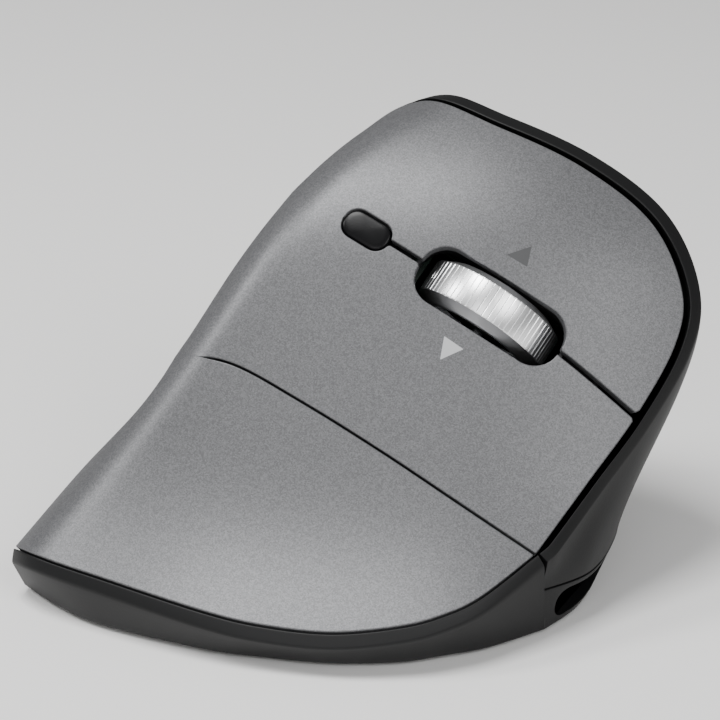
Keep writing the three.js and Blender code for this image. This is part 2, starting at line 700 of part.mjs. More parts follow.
function trayBlank() {

	const stations = [];
	const rightCount = 26;
	const leftCount = 32;
	for ( let i = 0; i <= rightCount; i ++ ) stations.push( trayRight( i / rightCount ) );
	for ( let i = 0; i <= leftCount; i ++ ) stations.push( trayLeft( SHELL_TO
		+ ( SHELL_FROM - SHELL_TO ) * i / leftCount ) );

	const positions = [];
	const index = [];
	const rings = stations[ 0 ].length;
	const count = stations.length;
	for ( const ring of stations ) for ( const p of ring ) positions.push( ...p.toArray() );
	const under = positions.length / 3;
	positions.push( 14, - 2, FLOOR_Z );
	positions.push( 14, - 2, FLOOR_Z + FLOOR_THICK );
	for ( let i = 0; i < count; i ++ ) {

		const a = i * rings;
		const b = ( ( i + 1 ) % count ) * rings;
		for ( let k = 0; k < rings - 1; k ++ ) index.push( a + k, b + k, b + k + 1, a + k, b + k + 1, a + k + 1 );
		index.push( under, b, a, under + 1, a + rings - 1, b + rings - 1 );

	}

	const geometry = new THREE.BufferGeometry();
	geometry.setAttribute( 'position', new THREE.Float32BufferAttribute( positions, 3 ) );
	geometry.setIndex( index );
	return geometry;

}

// The charging socket sits in a wide recess in the tray's front.
const SOCKET_AT = new THREE.Vector3( 28, 43.1, 4.9 );
const SOCKET_OUT = new THREE.Vector3( 0.335, 0.942, 0 );
const RECESS = { width: 15, height: 5.6, depth: 4.4 };
function onSocket( geometry ) {

	const side = new THREE.Vector3( 0.942, - 0.335, 0 );
	const frame = new THREE.Matrix4().makeBasis( side, SOCKET_OUT,
		new THREE.Vector3( 0, 0, 1 ) ).setPosition( SOCKET_AT );
	return geometry.applyMatrix4( frame );

}

// A rounded bar lying along the socket's axis, from y0 to y1.
function socketBar( width, height, round, y0, y1 ) {

	return onSocket( roundedBar( width, height, round, y1 - y0 ).rotateX( - Math.PI / 2 ).translate( 0,
		y0, 0 ) );

}

const SENSOR_AT = [ 17, 4 ];
const POWER_AT = [ 27, - 22 ];
const POWER_TRAVEL = 2.4;
const FEET = [ [ 37, - 37.5, 14, 1.06 ], [ 29.5, 32.5, 16, - 0.6 ], [ - 4.5, 31.8, 16, 0.53 ],
	[ - 4.5, - 30, 16, - 0.75 ] ];

function makeTray() {

	let tray = toSolid( trayBlank() );
	const add = ( g ) => ( tray = tray.add( toSolid( g ) ) );
	const take = ( g ) => ( tray = tray.subtract( toSolid( g ) ) );
	add( onSocket( box( RECESS.width + 3, 4.6, RECESS.height + 1, 0, - 5.2, 0.1 ) ) );
	for ( const [ x, y ] of SCREWS ) add( cylinder( 3.2, 7, 'z', 20 ).translate( x, y, FLOOR_Z + 4.3 ) );
	take( socketBar( RECESS.width, RECESS.height, 2.4, - RECESS.depth, 6 ) );
	take( socketBar( 9.8, 4.0, 1.9, - 8, 0 ) );
	for ( const [ x, y ] of SCREWS ) {

		take( cylinder( 1.3, 20, 'z', 16 ).translate( x, y, 0 ) );
		take( cylinder( 2.5, 3, 'z', 20 ).translate( x, y, FLOOR_Z ) );

	}

	take( box( 9, 7, 8, ...SENSOR_AT, 0 ) );
	take( box( 3.4, 4.6 + POWER_TRAVEL, 8, ...POWER_AT, 0 ) );
	return toGeometry( tray );

}

addMesh( 'base_tray', makeTray(), 'black' );

FEET.forEach( ( [ x, y, length, turn ], i ) => {

	const foot = roundedBar( length, 4.4, 2.1, FLOOR_Z - 0.05, 3 ).rotateZ( turn ).translate( x, y, 0 );
	addMesh( 'glide_foot_' + ( i + 1 ), foot, 'glide' );

} );

SCREWS.forEach( ( [ x, y ], i ) => {

	const head = cylinder( 2.1, 1.1, 'z', 20 ).translate( x, y, FLOOR_Z + 0.85 );
	const slot = box( 3, 0.6, 1, x, y, FLOOR_Z + 0.2 );
	const shank = cylinder( 1.0, 8.6, 'z', 12 ).translate( x, y, FLOOR_Z + 5.5 );
	addMesh( 'screw_' + ( i + 1 ), cut( join( head, shank ), slot ), 'steel' );

} );

// ---------------------------------------------------------------- the inner frame and its boards

// A ring of plastic under the panels, open over the wheel and switches, with two screw posts.
const frameArea = patch(
	( u ) => {

		const station = 2.2 + 9.6 * u;
		return rimAt( station ).addScaledVector( rimOutward( station ), - 5 );

	},
	( u ) => run( skirtEdge, 0.2, 0.9, - 6 )( u ),
	( v ) => {

		const from = rimAt( 2.2 ).addScaledVector( rimOutward( 2.2 ), - 5 );
		return from.lerp( run( skirtEdge, 0.2, 0.9, - 6 )( 0 ), v );

	},
	( v ) => {

		const from = rimAt( 11.8 ).addScaledVector( rimOutward( 11.8 ), - 5 );
		return from.lerp( run( skirtEdge, 0.2, 0.9, - 6 )( 1 ), v );

	},
);
const FRAME_OPENING = { from: - 31, to: 21, width: 21 };
const SWITCH_OPENING = { length: 14.4, width: 8 };

function makeFrame() {

	const length = FRAME_OPENING.to - FRAME_OPENING.from;
	const openings = [ roundedBar( length, FRAME_OPENING.width, 5,
		20 ).translate( ( FRAME_OPENING.to + FRAME_OPENING.from ) / 2, 0, - 14 ) ];
	for ( const side of [ 1, - 1 ] ) {

		openings.push( box( SWITCH_OPENING.length, SWITCH_OPENING.width, 20, SWITCH_X - 1.5,
			side * SWITCH_Y, - 4 ) );

	}

	let frame = toSolid( facePanel( frameArea, 14, 8, FRAME_DEPTH, FRAME_THICK ) );
	for ( const opening of openings ) frame = frame.subtract( toSolid( opening.applyMatrix4( wheelFrame ) ) );
	for ( const [ x, y ] of SCREWS.slice( 0, 2 ) ) {

		const top = frameHeightAt( x, y );
		const bottom = FLOOR_Z + 8.2;
		const post = cylinder( 3, top - bottom, 'z', 18 ).translate( x, y, ( top + bottom ) / 2 );
		frame = frame.add( toSolid( post ) ).subtract( toSolid( cylinder( 1.3, 6, 'z', 16 ).translate( x, y,
			bottom + 1 ) ) );

	}

	return toGeometry( frame );

}

// Height of the frame's middle layer above a desk point, found by sliding along the face's slope.
function frameHeightAt( x, y ) {

	let b = 0;
	for ( let i = 0; i < 40; i ++ ) b += ( x - facePoint( y, b, - FRAME_DEPTH - FRAME_THICK * 0.6 ).x ) * 0.8;
	return facePoint( y, b, - FRAME_DEPTH - FRAME_THICK * 0.6 ).z;

}

addMesh( 'face_frame', makeFrame(), 'frame' );

const boardTop = - BOARD_DEPTH;
const board = box( 50, 31, BOARD_THICK, - 4.5, - 0.5, boardTop - BOARD_THICK / 2 );
addMesh( 'button_board', cut( onWheelFrame( board ),
	onWheelFrame( box( 27.6, 11.4, 6, 0, 0, boardTop ) ) ), 'board' );

for ( const [ name, side ] of [ [ 'left', 1 ], [ 'right', - 1 ] ] ) {

	const y = side * SWITCH_Y;
	const top = boardTop + SWITCH.height;
	const body = box( SWITCH.length, SWITCH.width, SWITCH.height - 0.02, SWITCH_X - 1.5, y,
		( boardTop + top ) / 2 + 0.01 );
	const pocket = box( 3.4, 2.4, 3, SWITCH_X, y, top );
	addMesh( name + '_switch', cut( onWheelFrame( body ), onWheelFrame( pocket ) ), 'chip' );
	const plunger = box( 2.8, 1.8, 1.5, SWITCH_X, y, PLUNGER_TOP - 0.75 );
	addMesh( name + '_plunger', onWheelFrame( plunger ), 'steel' );

}

// ---------------------------------------------------------------- the scroll wheel

// A ring turned about the y axis from [ radius, y ] points.
function turned( points, sides ) {

	const profile = [ ...points, points[ 0 ] ].map( ( [ r, y ] ) => new THREE.Vector2( r, y ) );
	return new THREE.LatheGeometry( profile, sides );

}

const half = WHEEL_WIDTH / 2;
const rimProfile = [
	[ 8.5, - half + 0.6 ], [ 9.0, - half ], [ WHEEL_R - WHEEL_BEVEL, - half ], [ WHEEL_R, - WHEEL_BAND / 2 ],
	[ WHEEL_R, WHEEL_BAND / 2 ], [ WHEEL_R - WHEEL_BEVEL, half ], [ 9.0, half ], [ 8.5, half - 0.6 ],
];
addMesh( 'wheel_rim', onWheelFrame( turned( rimProfile, 40 ).translate( 0, 0, - WHEEL_DEPTH ) ), 'alloy' );
const hubProfile = [ [ 1.6, - 3.4 ], [ 3.4, - 3.4 ], [ 3.4, - 2.2 ], [ 8.2, - 2.2 ], [ 8.2, 2.2 ],
	[ 3.4, 2.2 ], [ 3.4, 3.4 ], [ 1.6, 3.4 ] ];
addMesh( 'wheel_hub', onWheelFrame( turned( hubProfile, 24 ).translate( 0, 0, - WHEEL_DEPTH ) ), 'frame' );
addMesh( 'wheel_axle', onWheelFrame( cylinder( 1.3, 19.6, 'y', 18 ).translate( 0, 0.8,
	- WHEEL_DEPTH ) ), 'steel' );

// The yoke holds the axle, turns on a rear pin and bears on the middle switch with its front tab.
const PIVOT = { x: - 17.6, z: - 9.2, radius: 1.1 };
const YOKE = { inside: 5.5, outside: 7.1, top: - 7.0, bottom: - 11.0, front: 16.4 };
function makeYoke() {

	const pieces = [];
	const height = YOKE.top - YOKE.bottom;
	const middle = ( YOKE.top + YOKE.bottom ) / 2;
	const thick = YOKE.outside - YOKE.inside;
	const length = YOKE.front - PIVOT.x;
	for ( const side of [ 1, - 1 ] )
		pieces.push( box( length, thick, height, ( YOKE.front + PIVOT.x ) / 2,
			side * ( YOKE.inside + YOKE.outside ) / 2, middle ) );

	pieces.push( box( 3, 2 * YOKE.outside, height, PIVOT.x, 0, middle ) );
	pieces.push( box( 2, 2 * YOKE.outside, height, YOKE.front - 1, 0, middle ) );
	pieces.push( box( 4.6, 6, 1.2, YOKE.front + 1.7, 0, - 8.2 ) );
	pieces.push( cylinder( PIVOT.radius, 21, 'y', 16 ).translate( PIVOT.x, 0, PIVOT.z ) );
	return cut( onWheelFrame( join( ...pieces ) ),
		onWheelFrame( cylinder( 1.65, 20, 'y', 18 ).translate( 0, 0, - WHEEL_DEPTH ) ) );

}

addMesh( 'wheel_cradle', makeYoke(), 'frame' );

for ( const [ name, side ] of [ [ 'left', 1 ], [ 'right', - 1 ] ] ) {

	const ear = box( 5, 2, 5.4, PIVOT.x, side * 9.3, boardTop + 2.72 );
	const bore = cylinder( PIVOT.radius + 0.3, 30, 'y', 16 ).translate( PIVOT.x, 0, PIVOT.z );
	addMesh( 'pivot_bracket_' + name, cut( onWheelFrame( ear ), onWheelFrame( bore ) ), 'frame' );

}

const encoder = box( 7, 3, 6.4, 0, 9.3, boardTop + 3.22 );
const encoderBore = cylinder( 2.2, 12, 'y', 18 ).translate( 0, 9.3, - WHEEL_DEPTH );
addMesh( 'wheel_encoder', cut( onWheelFrame( encoder ), onWheelFrame( encoderBore ) ), 'chip' );
addMesh( 'middle_switch', onWheelFrame( box( 5, 6, 2.4, YOKE.front + 1.8 + 0.7, 0,
	boardTop + 1.22 ) ), 'chip' );

// ---------------------------------------------------------------- the speed button behind the wheel

function makeDpi() {

	const cap = roundedBar( DPI.length, DPI.width, DPI.round, 3.2, 8 ).translate( 0, 0, - 3.0 );
	const flange = roundedBar( DPI.length + 2.4, DPI.width + 2.2, DPI.round + 1, 0.9, 6 ).translate( 0,
		0, - 3.7 );
	const stem = cylinder( 1.2, 3.0, 'z', 12 ).translate( - 0.4, 0, - 4.8 );
	return join( cap, flange, stem ).applyMatrix4( dpiFrame );

}

addMesh( 'dpi_button', makeDpi(), 'gloss' );
addMesh( 'dpi_switch', onWheelFrame( box( 5, 6, 3.2, - 25.6, 0, boardTop + 1.62 ) ), 'chip' );

// ---------------------------------------------------------------- electronics in the base

const MAIN_Z = 4.8; // middle of the flat board
function makeMainBoard() {

	const plate = box( 28, 33, 1.2, 18, 13.5, MAIN_Z );
	return cut( plate, box( 5, 5, 4, ...SENSOR_AT, MAIN_Z ), socketBar( 9.8, 4, 1.9, - 12, 6 ) );

}

addMesh( 'main_board', makeMainBoard(), 'board' );
addMesh( 'sensor_chip', box( 10, 9, 2.2, ...SENSOR_AT, MAIN_Z + 1.75 ), 'chip' );
addMesh( 'sensor_lens', box( 8.4, 6.4, 2.8, ...SENSOR_AT, 2.6 ), 'lens' );
addMesh( 'controller_chip', box( 7, 7, 0.9, 12, 22, MAIN_Z + 1.1 ), 'chip' );
addMesh( 'battery_cell', roundedBar( 28, 6.5, 2.2, 17,
	6 ).rotateX( Math.PI / 2 ).rotateZ( Math.PI / 2 ).translate( - 7.5, - 19, 6.6 ), 'cell' );

const connector = () => cut( socketBar( 9.1, 3.3, 1.55, - 10.4, - 4.2 ),
	socketBar( 8.5, 2.7, 1.25, - 9.4, - 2 ) );
addMesh( 'charging_socket', connector(), 'steel' );
addMesh( 'socket_tongue', onSocket( box( 6.6, 4.2, 0.7, 0, - 7.0, 0 ) ), 'chip' );

const [ powerX, powerY ] = POWER_AT;
const knobFoot = box( 2.8, 4.0, 3.0, powerX, powerY - POWER_TRAVEL / 2, FLOOR_Z - 0.3 + 1.5 );
const knobFlange = box( 5.2, 5.6, 0.8, powerX, powerY - POWER_TRAVEL / 2, FLOOR_Z + FLOOR_THICK + 0.7 );
addMesh( 'power_knob', join( knobFoot, knobFlange ), 'gloss' );
addMesh( 'power_switch', box( 6, 9.5, 3.4, powerX, powerY, FLOOR_Z + FLOOR_THICK + 3.2 ), 'steel' );

// ---------------------------------------------------------------- ribbon cables

// A flat cable of the given width along a curve.
function ribbon( points, across, width ) {

	const curve = new THREE.CubicBezierCurve3( ...points );
	return slab( 14, 1, ( i, j, side ) => {

		const t = i / 14;
		const normal = curve.getTangent( t ).cross( across ).normalize();
		return curve.getPoint( t ).addScaledVector( across, ( j - 0.5 ) * width ).addScaledVector( normal,
			side * 0.3 );

	}, true );

}

const inWheel = ( x, y, z ) => new THREE.Vector3( x, y, z ).applyMatrix4( wheelFrame );
addMesh( 'button_ribbon', ribbon( [
	inWheel( 0, - 13, boardTop - BOARD_THICK - 0.4 ), inWheel( 0, - 14, boardTop - 9 ),
	new THREE.Vector3( 22, 16, 18 ), new THREE.Vector3( 24, 13, MAIN_Z + 1.1 ),
], new THREE.Vector3( 0, 1, 0 ), 8 ), 'ribbon' );

root.position.set( - CENTRE_X, - CENTRE_Y, 0 );

export default root;
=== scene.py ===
"""Looks for the vertical computer mouse: smooth casing pieces, wheel, buttons, materials, desk and light."""

import math

import bmesh
import bpy
import numpy as np
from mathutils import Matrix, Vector
from mathutils.geometry import delaunay_2d_cdt


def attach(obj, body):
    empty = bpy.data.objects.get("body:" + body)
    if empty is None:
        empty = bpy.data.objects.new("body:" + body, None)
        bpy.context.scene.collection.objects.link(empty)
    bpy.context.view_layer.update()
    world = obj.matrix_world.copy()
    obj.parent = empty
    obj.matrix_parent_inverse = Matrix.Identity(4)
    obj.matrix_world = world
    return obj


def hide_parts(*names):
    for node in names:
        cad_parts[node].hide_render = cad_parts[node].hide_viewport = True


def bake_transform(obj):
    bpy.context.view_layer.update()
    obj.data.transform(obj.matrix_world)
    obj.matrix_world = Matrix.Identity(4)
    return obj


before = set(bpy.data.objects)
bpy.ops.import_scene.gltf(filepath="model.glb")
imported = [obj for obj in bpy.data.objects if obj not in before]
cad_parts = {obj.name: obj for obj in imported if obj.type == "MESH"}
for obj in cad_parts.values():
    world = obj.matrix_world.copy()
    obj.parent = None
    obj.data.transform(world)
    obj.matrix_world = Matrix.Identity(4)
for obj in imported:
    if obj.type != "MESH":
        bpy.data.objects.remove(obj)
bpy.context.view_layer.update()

MM = 0.001
FINE = 1.0  # spacing of surface points, in millimetres

# ---------------------------------------------------------------- dimensions, in millimetres

CENTRE = np.array([16.5, 2.8, 0.0])  # the row's origin in the design frame
SLOPE = math.radians(56)
ROLL = math.radians(29)
FACE_CENTRE = np.array([22.0, 0.0, 44.0])
FORWARD = np.array([0.0, 1.0, 0.0])
DOWN = np.array([math.cos(SLOPE), 0.0, -math.sin(SLOPE)])
OUT = np.array([math.sin(SLOPE), 0.0, math.cos(SLOPE)])
UP = np.array([0.0, 0.0, 1.0])

PANEL = 2.0
KEY_GAP = 0.95
PALM_GAP = 0.36
SEAM_START = 0.1  # share of the palm split, from the ridge, that is closed
FLOOR_Z = 0.8
WHEEL_AT = (24.4, -7.3)
WHEEL_R = 12.2
WHEEL_WIDTH = 8.4
WHEEL_BAND = 5.6
WHEEL_BEVEL = 2.4
WHEEL_DEPTH = 9.0
TEETH = 72
SLOT = (27.4, 10.4, 4.6)  # length, width, corner radius
SPEED_AT = (2.9, -19.1)
SPEED = (8.7, 4.9, 2.3)
RIM_DROP = 1.0
SHELL_WALL = 1.9
WALL_BEND = 0.36  # how far the shell's wall keeps its direction at each end, as a share of its height
DOME_PEAK = 0.08  # height of a dome's last point over its last ring, as a share of the dome

OUTLINE = [
    (-53.5, 37.2), (-44, 23.8), (-33.5, 12), (-26.5, 0), (-19, -14), (-9.8, -28),
    (-0.5, -38.6), (8, -45.6), (23.5, -39.8), (38, -33.3), (50, -24.6), (55.8, -13.5),
    (55.3, -4), (49.6, 8.7), (42.6, 20.3), (34.8, 33.2),
]
SKIRT = [
    (-53.5, 37.2), (-45.4, 39.7), (-36, 42.1), (-18.2, 46.5), (-8, 48.2), (3.5, 48.6),
    (14.3, 46.8), (20.8, 44.5), (26.6, 41), (34.8, 33.2),
]
KEY_SPLIT = [(-22, -33.5), (8, -16.6), (24.4, -7.3), (36.4, -0.3), (49.6, 9.2)]
PALM_SPLIT = [(-28.6, 3.6), (-18, 5), (-5.9, 10.6), (8.1, 18.1), (21.8, 26), (34.8, 33.5)]

# Foot x, y, z of the shell at each outline station, its lean under the rim, its flare at the foot.
SHELL = [
    (36.0, -53.2, 5.4, 0, 0), (24.5, -51.4, 8.2, 0, 0.1), (9.5, -47.4, 9, 0.05, 0.2),
    (-5.5, -40.4, 9, 0.1, 0.35), (-15.0, -32.0, 9, 0.15, 0.6), (-20.4, -22.4, 9, 0.2, 0.85),
    (-23, -12, 9, 0.3, 1.05), (-24, -1, 9, 0.45, 1.1), (-24, 11, 9, 0.5, 1),
    (-22, 23.5, 9, 0.45, 0.75), (-15, 36, 9, 0.3, 0.4), (-2, 44.2, 9, 0.05, 0.05),
    (10.5, 47.2, 9, -0.1, -0.15), (22, 46.4, 9, -0.1, -0.2), (32.3, 43, 9, -0.1, -0.15),
    (39.6, 35.7, 9.2, -0.1, -0.1),
]
GROUND_RIGHT = [
    (35.6, -52.4), (41.6, -45.4), (46.8, -36.4), (52, -18.2), (53.1, -8), (53.4, 3.3),
    (51.6, 14), (48.6, 21), (45, 28), (38.2, 36.4),
]
GROUND_LEFT = [
    (35.6, -52.4), (24, -49.8), (10, -45.5), (-4.3, -38.6), (-13.2, -30.4), (-18.4, -21.2),
    (-20.8, -11.3), (-21.7, -1), (-21.7, 10.6), (-19.8, 22.3), (-13.2, 33.6), (-1.3, 41.4),
    (10.5, 44.2), (21, 43.6), (30.6, 41), (38.2, 36.4),
]
LAST = len(OUTLINE) - 1
SHELL_FROM, SHELL_TO = 0.35, 14.97
PALM_STATION = 2.7
SPLIT_STATION = 13.0

# ---------------------------------------------------------------- curves


def spline(points, t):
    """Catmull-Rom curve through the points, t from 0 to 1 with the same share for each span."""
    p = np.asarray(points, float)
    t = np.atleast_1d(np.asarray(t, float))
    last = len(p) - 1
    s = np.clip(t, 0, 1) * last
    k = np.minimum(s.astype(int), last - 1)
    f = (s - k)[:, None]
    a, b, c, d = p[np.maximum(k - 1, 0)], p[k], p[k + 1], p[np.minimum(k + 2, last)]
    va, vb = (c - a) / 2, (d - b) / 2
    return (2 * b - 2 * c + va + vb) * f**3 + (3 * c - 3 * b - 2 * va - vb) * f**2 + va * f + b


def tangent(points, t, step=1e-4):
    t = np.atleast_1d(np.asarray(t, float))
    d = spline(points, np.clip(t + step, 0, 1)) - spline(points, np.clip(t - step, 0, 1))
    return unit(d)


def unit(v):
    return v / np.maximum(np.linalg.norm(v, axis=-1, keepdims=True), 1e-12)


def smoothstep(x, low, high):
    s = np.clip((x - low) / (high - low), 0, 1)
    return s * s * (3 - 2 * s)


def ramp(x, soft):
    """A smooth version of max(x, 0)."""
    return (x + np.hypot(x, soft)) / 2


def shifted(points, t, side):
    """Points beside a curve on the face; a positive side is down the slope."""
    way = tangent(points, t)
    return spline(points, t) + np.stack([-way[:, 1], way[:, 0]], 1) * np.reshape(side, (-1, 1))


# ---------------------------------------------------------------- the face

HEEL, TOP = np.array([-53.5, 37.2]), np.array([8.0, -45.6])
RIDGE_LENGTH = np.linalg.norm(TOP - HEEL)
RIDGE_WAY = (TOP - HEEL) / RIDGE_LENGTH
RIDGE_OUT = np.array([RIDGE_WAY[1], -RIDGE_WAY[0]])


def face_height(ab):
    """Height of the face off its base plane: crowned, flared at the heel and folded at the ridge."""
    a, b = ab[..., 0], ab[..., 1]
    crown = ramp(-12 - b, 8) ** 2 / 110 + ramp(a - 16, 10) ** 2 / 190 + ramp(-a - 12, 10) ** 2 / 260
    flare = ramp(b - 16, 8) ** 2 / 145
    u = np.clip((ab - HEEL) @ RIDGE_WAY / RIDGE_LENGTH, 0, 1)
    inside = u * (1 - u) * (0.6 - 29.6 * u + 74.6 * u * u) - (ab - HEEL) @ RIDGE_OUT
    fold = ramp(6 - np.maximum(inside, -2), 3) ** 2 / 10
    return flare - crown - fold


def face_base(ab):
    ab = np.asarray(ab, float)
    h = face_height(ab)
    return FACE_CENTRE + ab[..., :1] * FORWARD + ab[..., 1:] * DOWN + h[..., None] * OUT


def face_normal(ab):
    step = 0.05
    ab = np.asarray(ab, float)
    da, db = np.array([step, 0]), np.array([0, step])
    along_a = face_base(ab + da) - face_base(ab - da)
    along_b = face_base(ab + db) - face_base(ab - db)
    return unit(np.cross(along_b, along_a))


def face_point(ab, lift=0.0):
    return face_base(ab) + face_normal(ab) * np.reshape(lift, np.shape(lift) + (1,))


def face_axes(ab):
    """Origin and axes on the face: x along the fingers, y up the slope, z outwards."""
    z = face_normal(np.array(ab))
    x = FORWARD * math.cos(ROLL) + DOWN * math.sin(ROLL)
    x = unit(x - z * (x @ z))
    return face_base(np.array(ab)), x, np.cross(z, x), z


def finger(xy, at):
    """Face coordinates of points given along the fingers and up the slope from a place on the face."""
    xy = np.asarray(xy, float)
    c, s = math.cos(ROLL), math.sin(ROLL)
    a = at[0] + xy[..., 0] * c + xy[..., 1] * s
    b = at[1] + xy[..., 0] * s - xy[..., 1] * c
    return np.stack([a, b], -1)


def rim(station):
    return spline(OUTLINE, np.atleast_1d(station) / LAST)


def rim_outward(station):
    s = np.atleast_1d(np.asarray(station, float))
    way = unit(rim(np.minimum(s + 0.01, LAST)) - rim(np.maximum(s - 0.01, 0)))
    return np.stack([way[:, 1], -way[:, 0]], 1)


# ---------------------------------------------------------------- meshes


def add_object(name, verts, faces, material, body="casing", normals=None):
    """A smooth-shaded mesh from points in the design frame, riding a body unless body is None."""
    mesh = bpy.data.meshes.new(name)
    points = (np.asarray(verts, float) - CENTRE) * MM
    mesh.from_pydata(points.tolist(), [], [list(map(int, f)) for f in faces])
    mesh.validate()
    mesh.shade_smooth()
    if normals is not None:
        mesh.normals_split_custom_set_from_vertices([Vector(n) for n in normals])
    obj = bpy.data.objects.new(name, mesh)
    bpy.context.collection.objects.link(obj)
    mesh.materials.append(material)
    if body:
        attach(obj, body)
    return obj


def grid_faces(rows, columns, wrap_rows=False, wrap_columns=False):
    faces = []
    for i in range(rows if wrap_rows else rows - 1):
        for j in range(columns if wrap_columns else columns - 1):
            a, b = i * columns + j, i * columns + (j + 1) % columns
            c, d = ((i + 1) % rows) * columns + (j + 1) % columns, ((i + 1) % rows) * columns + j
            faces.append((a, b, c, d))
    return faces


def resample(path, spacing, closed=False):
    """The path with its points about that far apart, its ends kept."""
    p = np.asarray(path, float)
    if closed:
        p = np.vstack([p, p[:1]])
    lengths = np.concatenate([[0], np.cumsum(np.linalg.norm(np.diff(p, axis=0), axis=1))])
    count = max(2, int(round(lengths[-1] / spacing)) + 1)
    s = np.linspace(0, lengths[-1], count)
    out = np.stack([np.interp(s, lengths, p[:, k]) for k in range(p.shape[1])], 1)
    return out[:-1] if closed else out


def trimmed(path, start, end):
    """The path without its first start millimetres and its last end millimetres."""
    p = np.asarray(path, float)
    lengths = np.concatenate([[0], np.cumsum(np.linalg.norm(np.diff(p, axis=0), axis=1))])
    total = lengths[-1]
    start, end = min(start, total * 0.45), min(end, total * 0.45)
    s = np.concatenate([[start], lengths[(lengths > start) & (lengths < total - end)], [total - end]])
    return np.stack([np.interp(s, lengths, p[:, k]) for k in range(p.shape[1])], 1)


def loop(*segments):
    """Closed outline from (path, radius, is_cut) segments, each corner rounded by its segment's radius.

    Returns the points and, for each, whether it lies on a cut edge, which stays square."""
    count = len(segments)
    points, cuts = [], []
    for k, (path, radius, cut) in enumerate(segments):
        after = segments[(k + 1) % count][1]
        part = resample(trimmed(path, radius, after), 0.5)
        points.extend(part)
        cuts.extend([cut] * len(part))
        following = segments[(k + 1) % count][0]
        if after > 0:
            corner = (np.asarray(path[-1]) + np.asarray(following[0])) / 2
            ahead = trimmed(following, after, 0)[0]
            for t in (0.2, 0.4, 0.6, 0.8):
                points.append((1 - t) ** 2 * part[-1] + 2 * t * (1 - t) * corner + t * t * ahead)
                cuts.append(False)
    points, cuts = np.array(points), np.array(cuts)
    keep = np.linalg.norm(points - np.roll(points, 1, axis=0), axis=1) > 0.02
    return points[keep], cuts[keep]


def inward_normals(points):
    """Unit normals pointing into a closed outline, whichever way round it runs."""
    way = unit(np.roll(points, -1, axis=0) - np.roll(points, 1, axis=0))
    left = np.stack([-way[:, 1], way[:, 0]], 1)
    x, y = points[:, 0], points[:, 1]
    area = np.sum(x * np.roll(y, -1) - y * np.roll(x, -1))
    return left if area > 0 else -left


def fill(outline, spacing):
    """Triangles over a closed outline, with points on a square lattice inside it."""
    low, high = outline.min(0), outline.max(0)
    xs = np.arange(low[0] + spacing / 2, high[0], spacing)
    ys = np.arange(low[1] + spacing / 2, high[1], spacing)
    lattice = np.stack(np.meshgrid(xs, ys), -1).reshape(-1, 2)
    inside = in_outline(lattice, outline)
    near = np.array([np.min(np.sum((outline - q) ** 2, 1)) for q in lattice]) < (0.45 * spacing) ** 2
    lattice = lattice[inside & ~near]
    verts = [Vector(v) for v in np.vstack([outline, lattice])]
    edges = [(k, (k + 1) % len(outline)) for k in range(len(outline))]
    made = delaunay_2d_cdt(verts, edges, [], 0, 1e-6)
    flat = np.array([tuple(v) for v in made[0]])
    triangles = np.array(made[2])
    corners = flat[triangles]
    sides = corners[:, 1:] - corners[:, :1]
    double_area = np.abs(sides[:, 0, 0] * sides[:, 1, 1] - sides[:, 0, 1] * sides[:, 1, 0])
    whole = in_outline(corners.mean(1), outline) & (double_area > 1e-5)
    return flat, triangles[whole]


def in_outline(points, outline):
    x, y = points[:, 0], points[:, 1]
    inside = np.zeros(len(points), bool)
    for (x0, y0), (x1, y1) in zip(outline, np.roll(outline, -1, axis=0)):
        crosses = (y0 > y) != (y1 > y)
        with np.errstate(divide="ignore", invalid="ignore"):
            at = x0 + (y - y0) * (x1 - x0) / (y1 - y0)
        inside ^= crosses & (x < at)
    return inside


def edge_share(cuts, fade=8):
    """How rounded the edge is at each point: not at all on a cut, growing to fully over a few points."""
    on_cut = np.where(cuts, 0.0, 1.0)
    near = [np.roll(on_cut, k) + abs(k) / fade for k in range(-fade, fade + 1)]
    return np.minimum(np.min(near, axis=0), 1)


def plate(name, outline, cuts, base, normal, material, body, thick=PANEL, edge=0.25, lift=0.0):
    """A slab over an outline on a surface, with a rounded outer edge, and no side wall along cuts."""
    share = edge_share(cuts)
    inward = inward_normals(outline) * share[:, None]
    rings, drops, tilts = [], [], []
    for inset, drop, tilt in [
        (0.0, thick, 0.0), (0.0, edge, 0.0), (edge * 0.134, edge * 0.5, 0.5),
        (edge * 0.5, edge * 0.134, 0.866), (edge, 0.0, 1.0),
    ]:
        rings.append(outline + inward * inset)
        drops.append(drop * share if drop < thick else np.full(len(share), thick))
        tilts.append(1 - (1 - tilt) * share if drop < thick else np.zeros(len(share)))
    flat, triangles = fill(rings[-1], 1.6 * FINE)
    count = len(outline)
    flats = np.vstack([*rings[:-1], flat])
    drop = np.concatenate([*drops[:-1], np.zeros(len(flat))])
    tilt = np.concatenate([*tilts[:-1], np.ones(len(flat))])
    up = normal(flats)
    verts = base(flats) + up * (lift - drop)[:, None]
    outward = np.vstack([np.tile(-inward_normals(outline), (4, 1)), np.zeros((len(flat), 2))])
    sides = base(flats + 0.05 * outward)
    sideways = unit(np.where(tilt[:, None] < 1, sides - base(flats), up))
    shading = unit(up * tilt[:, None] + sideways * np.sqrt(1 - tilt**2)[:, None])
    nearest = [int(np.argmin(np.sum((flat - q) ** 2, 1))) for q in rings[-1]]
    ring = [[k * count + j for j in range(count)] for k in range(4)]
    ring.append([4 * count + j for j in nearest])
    faces = [tuple(4 * count + t for t in tri) for tri in triangles]
    for k in range(4):
        for j in range(count):
            i = (j + 1) % count
            if not (cuts[j] and cuts[i]):
                faces.append((ring[k][j], ring[k][i], ring[k + 1][i], ring[k + 1][j]))
    faces = faced_outwards(verts, faces, shading)
    return add_object(name, verts, faces, material, body, shading)


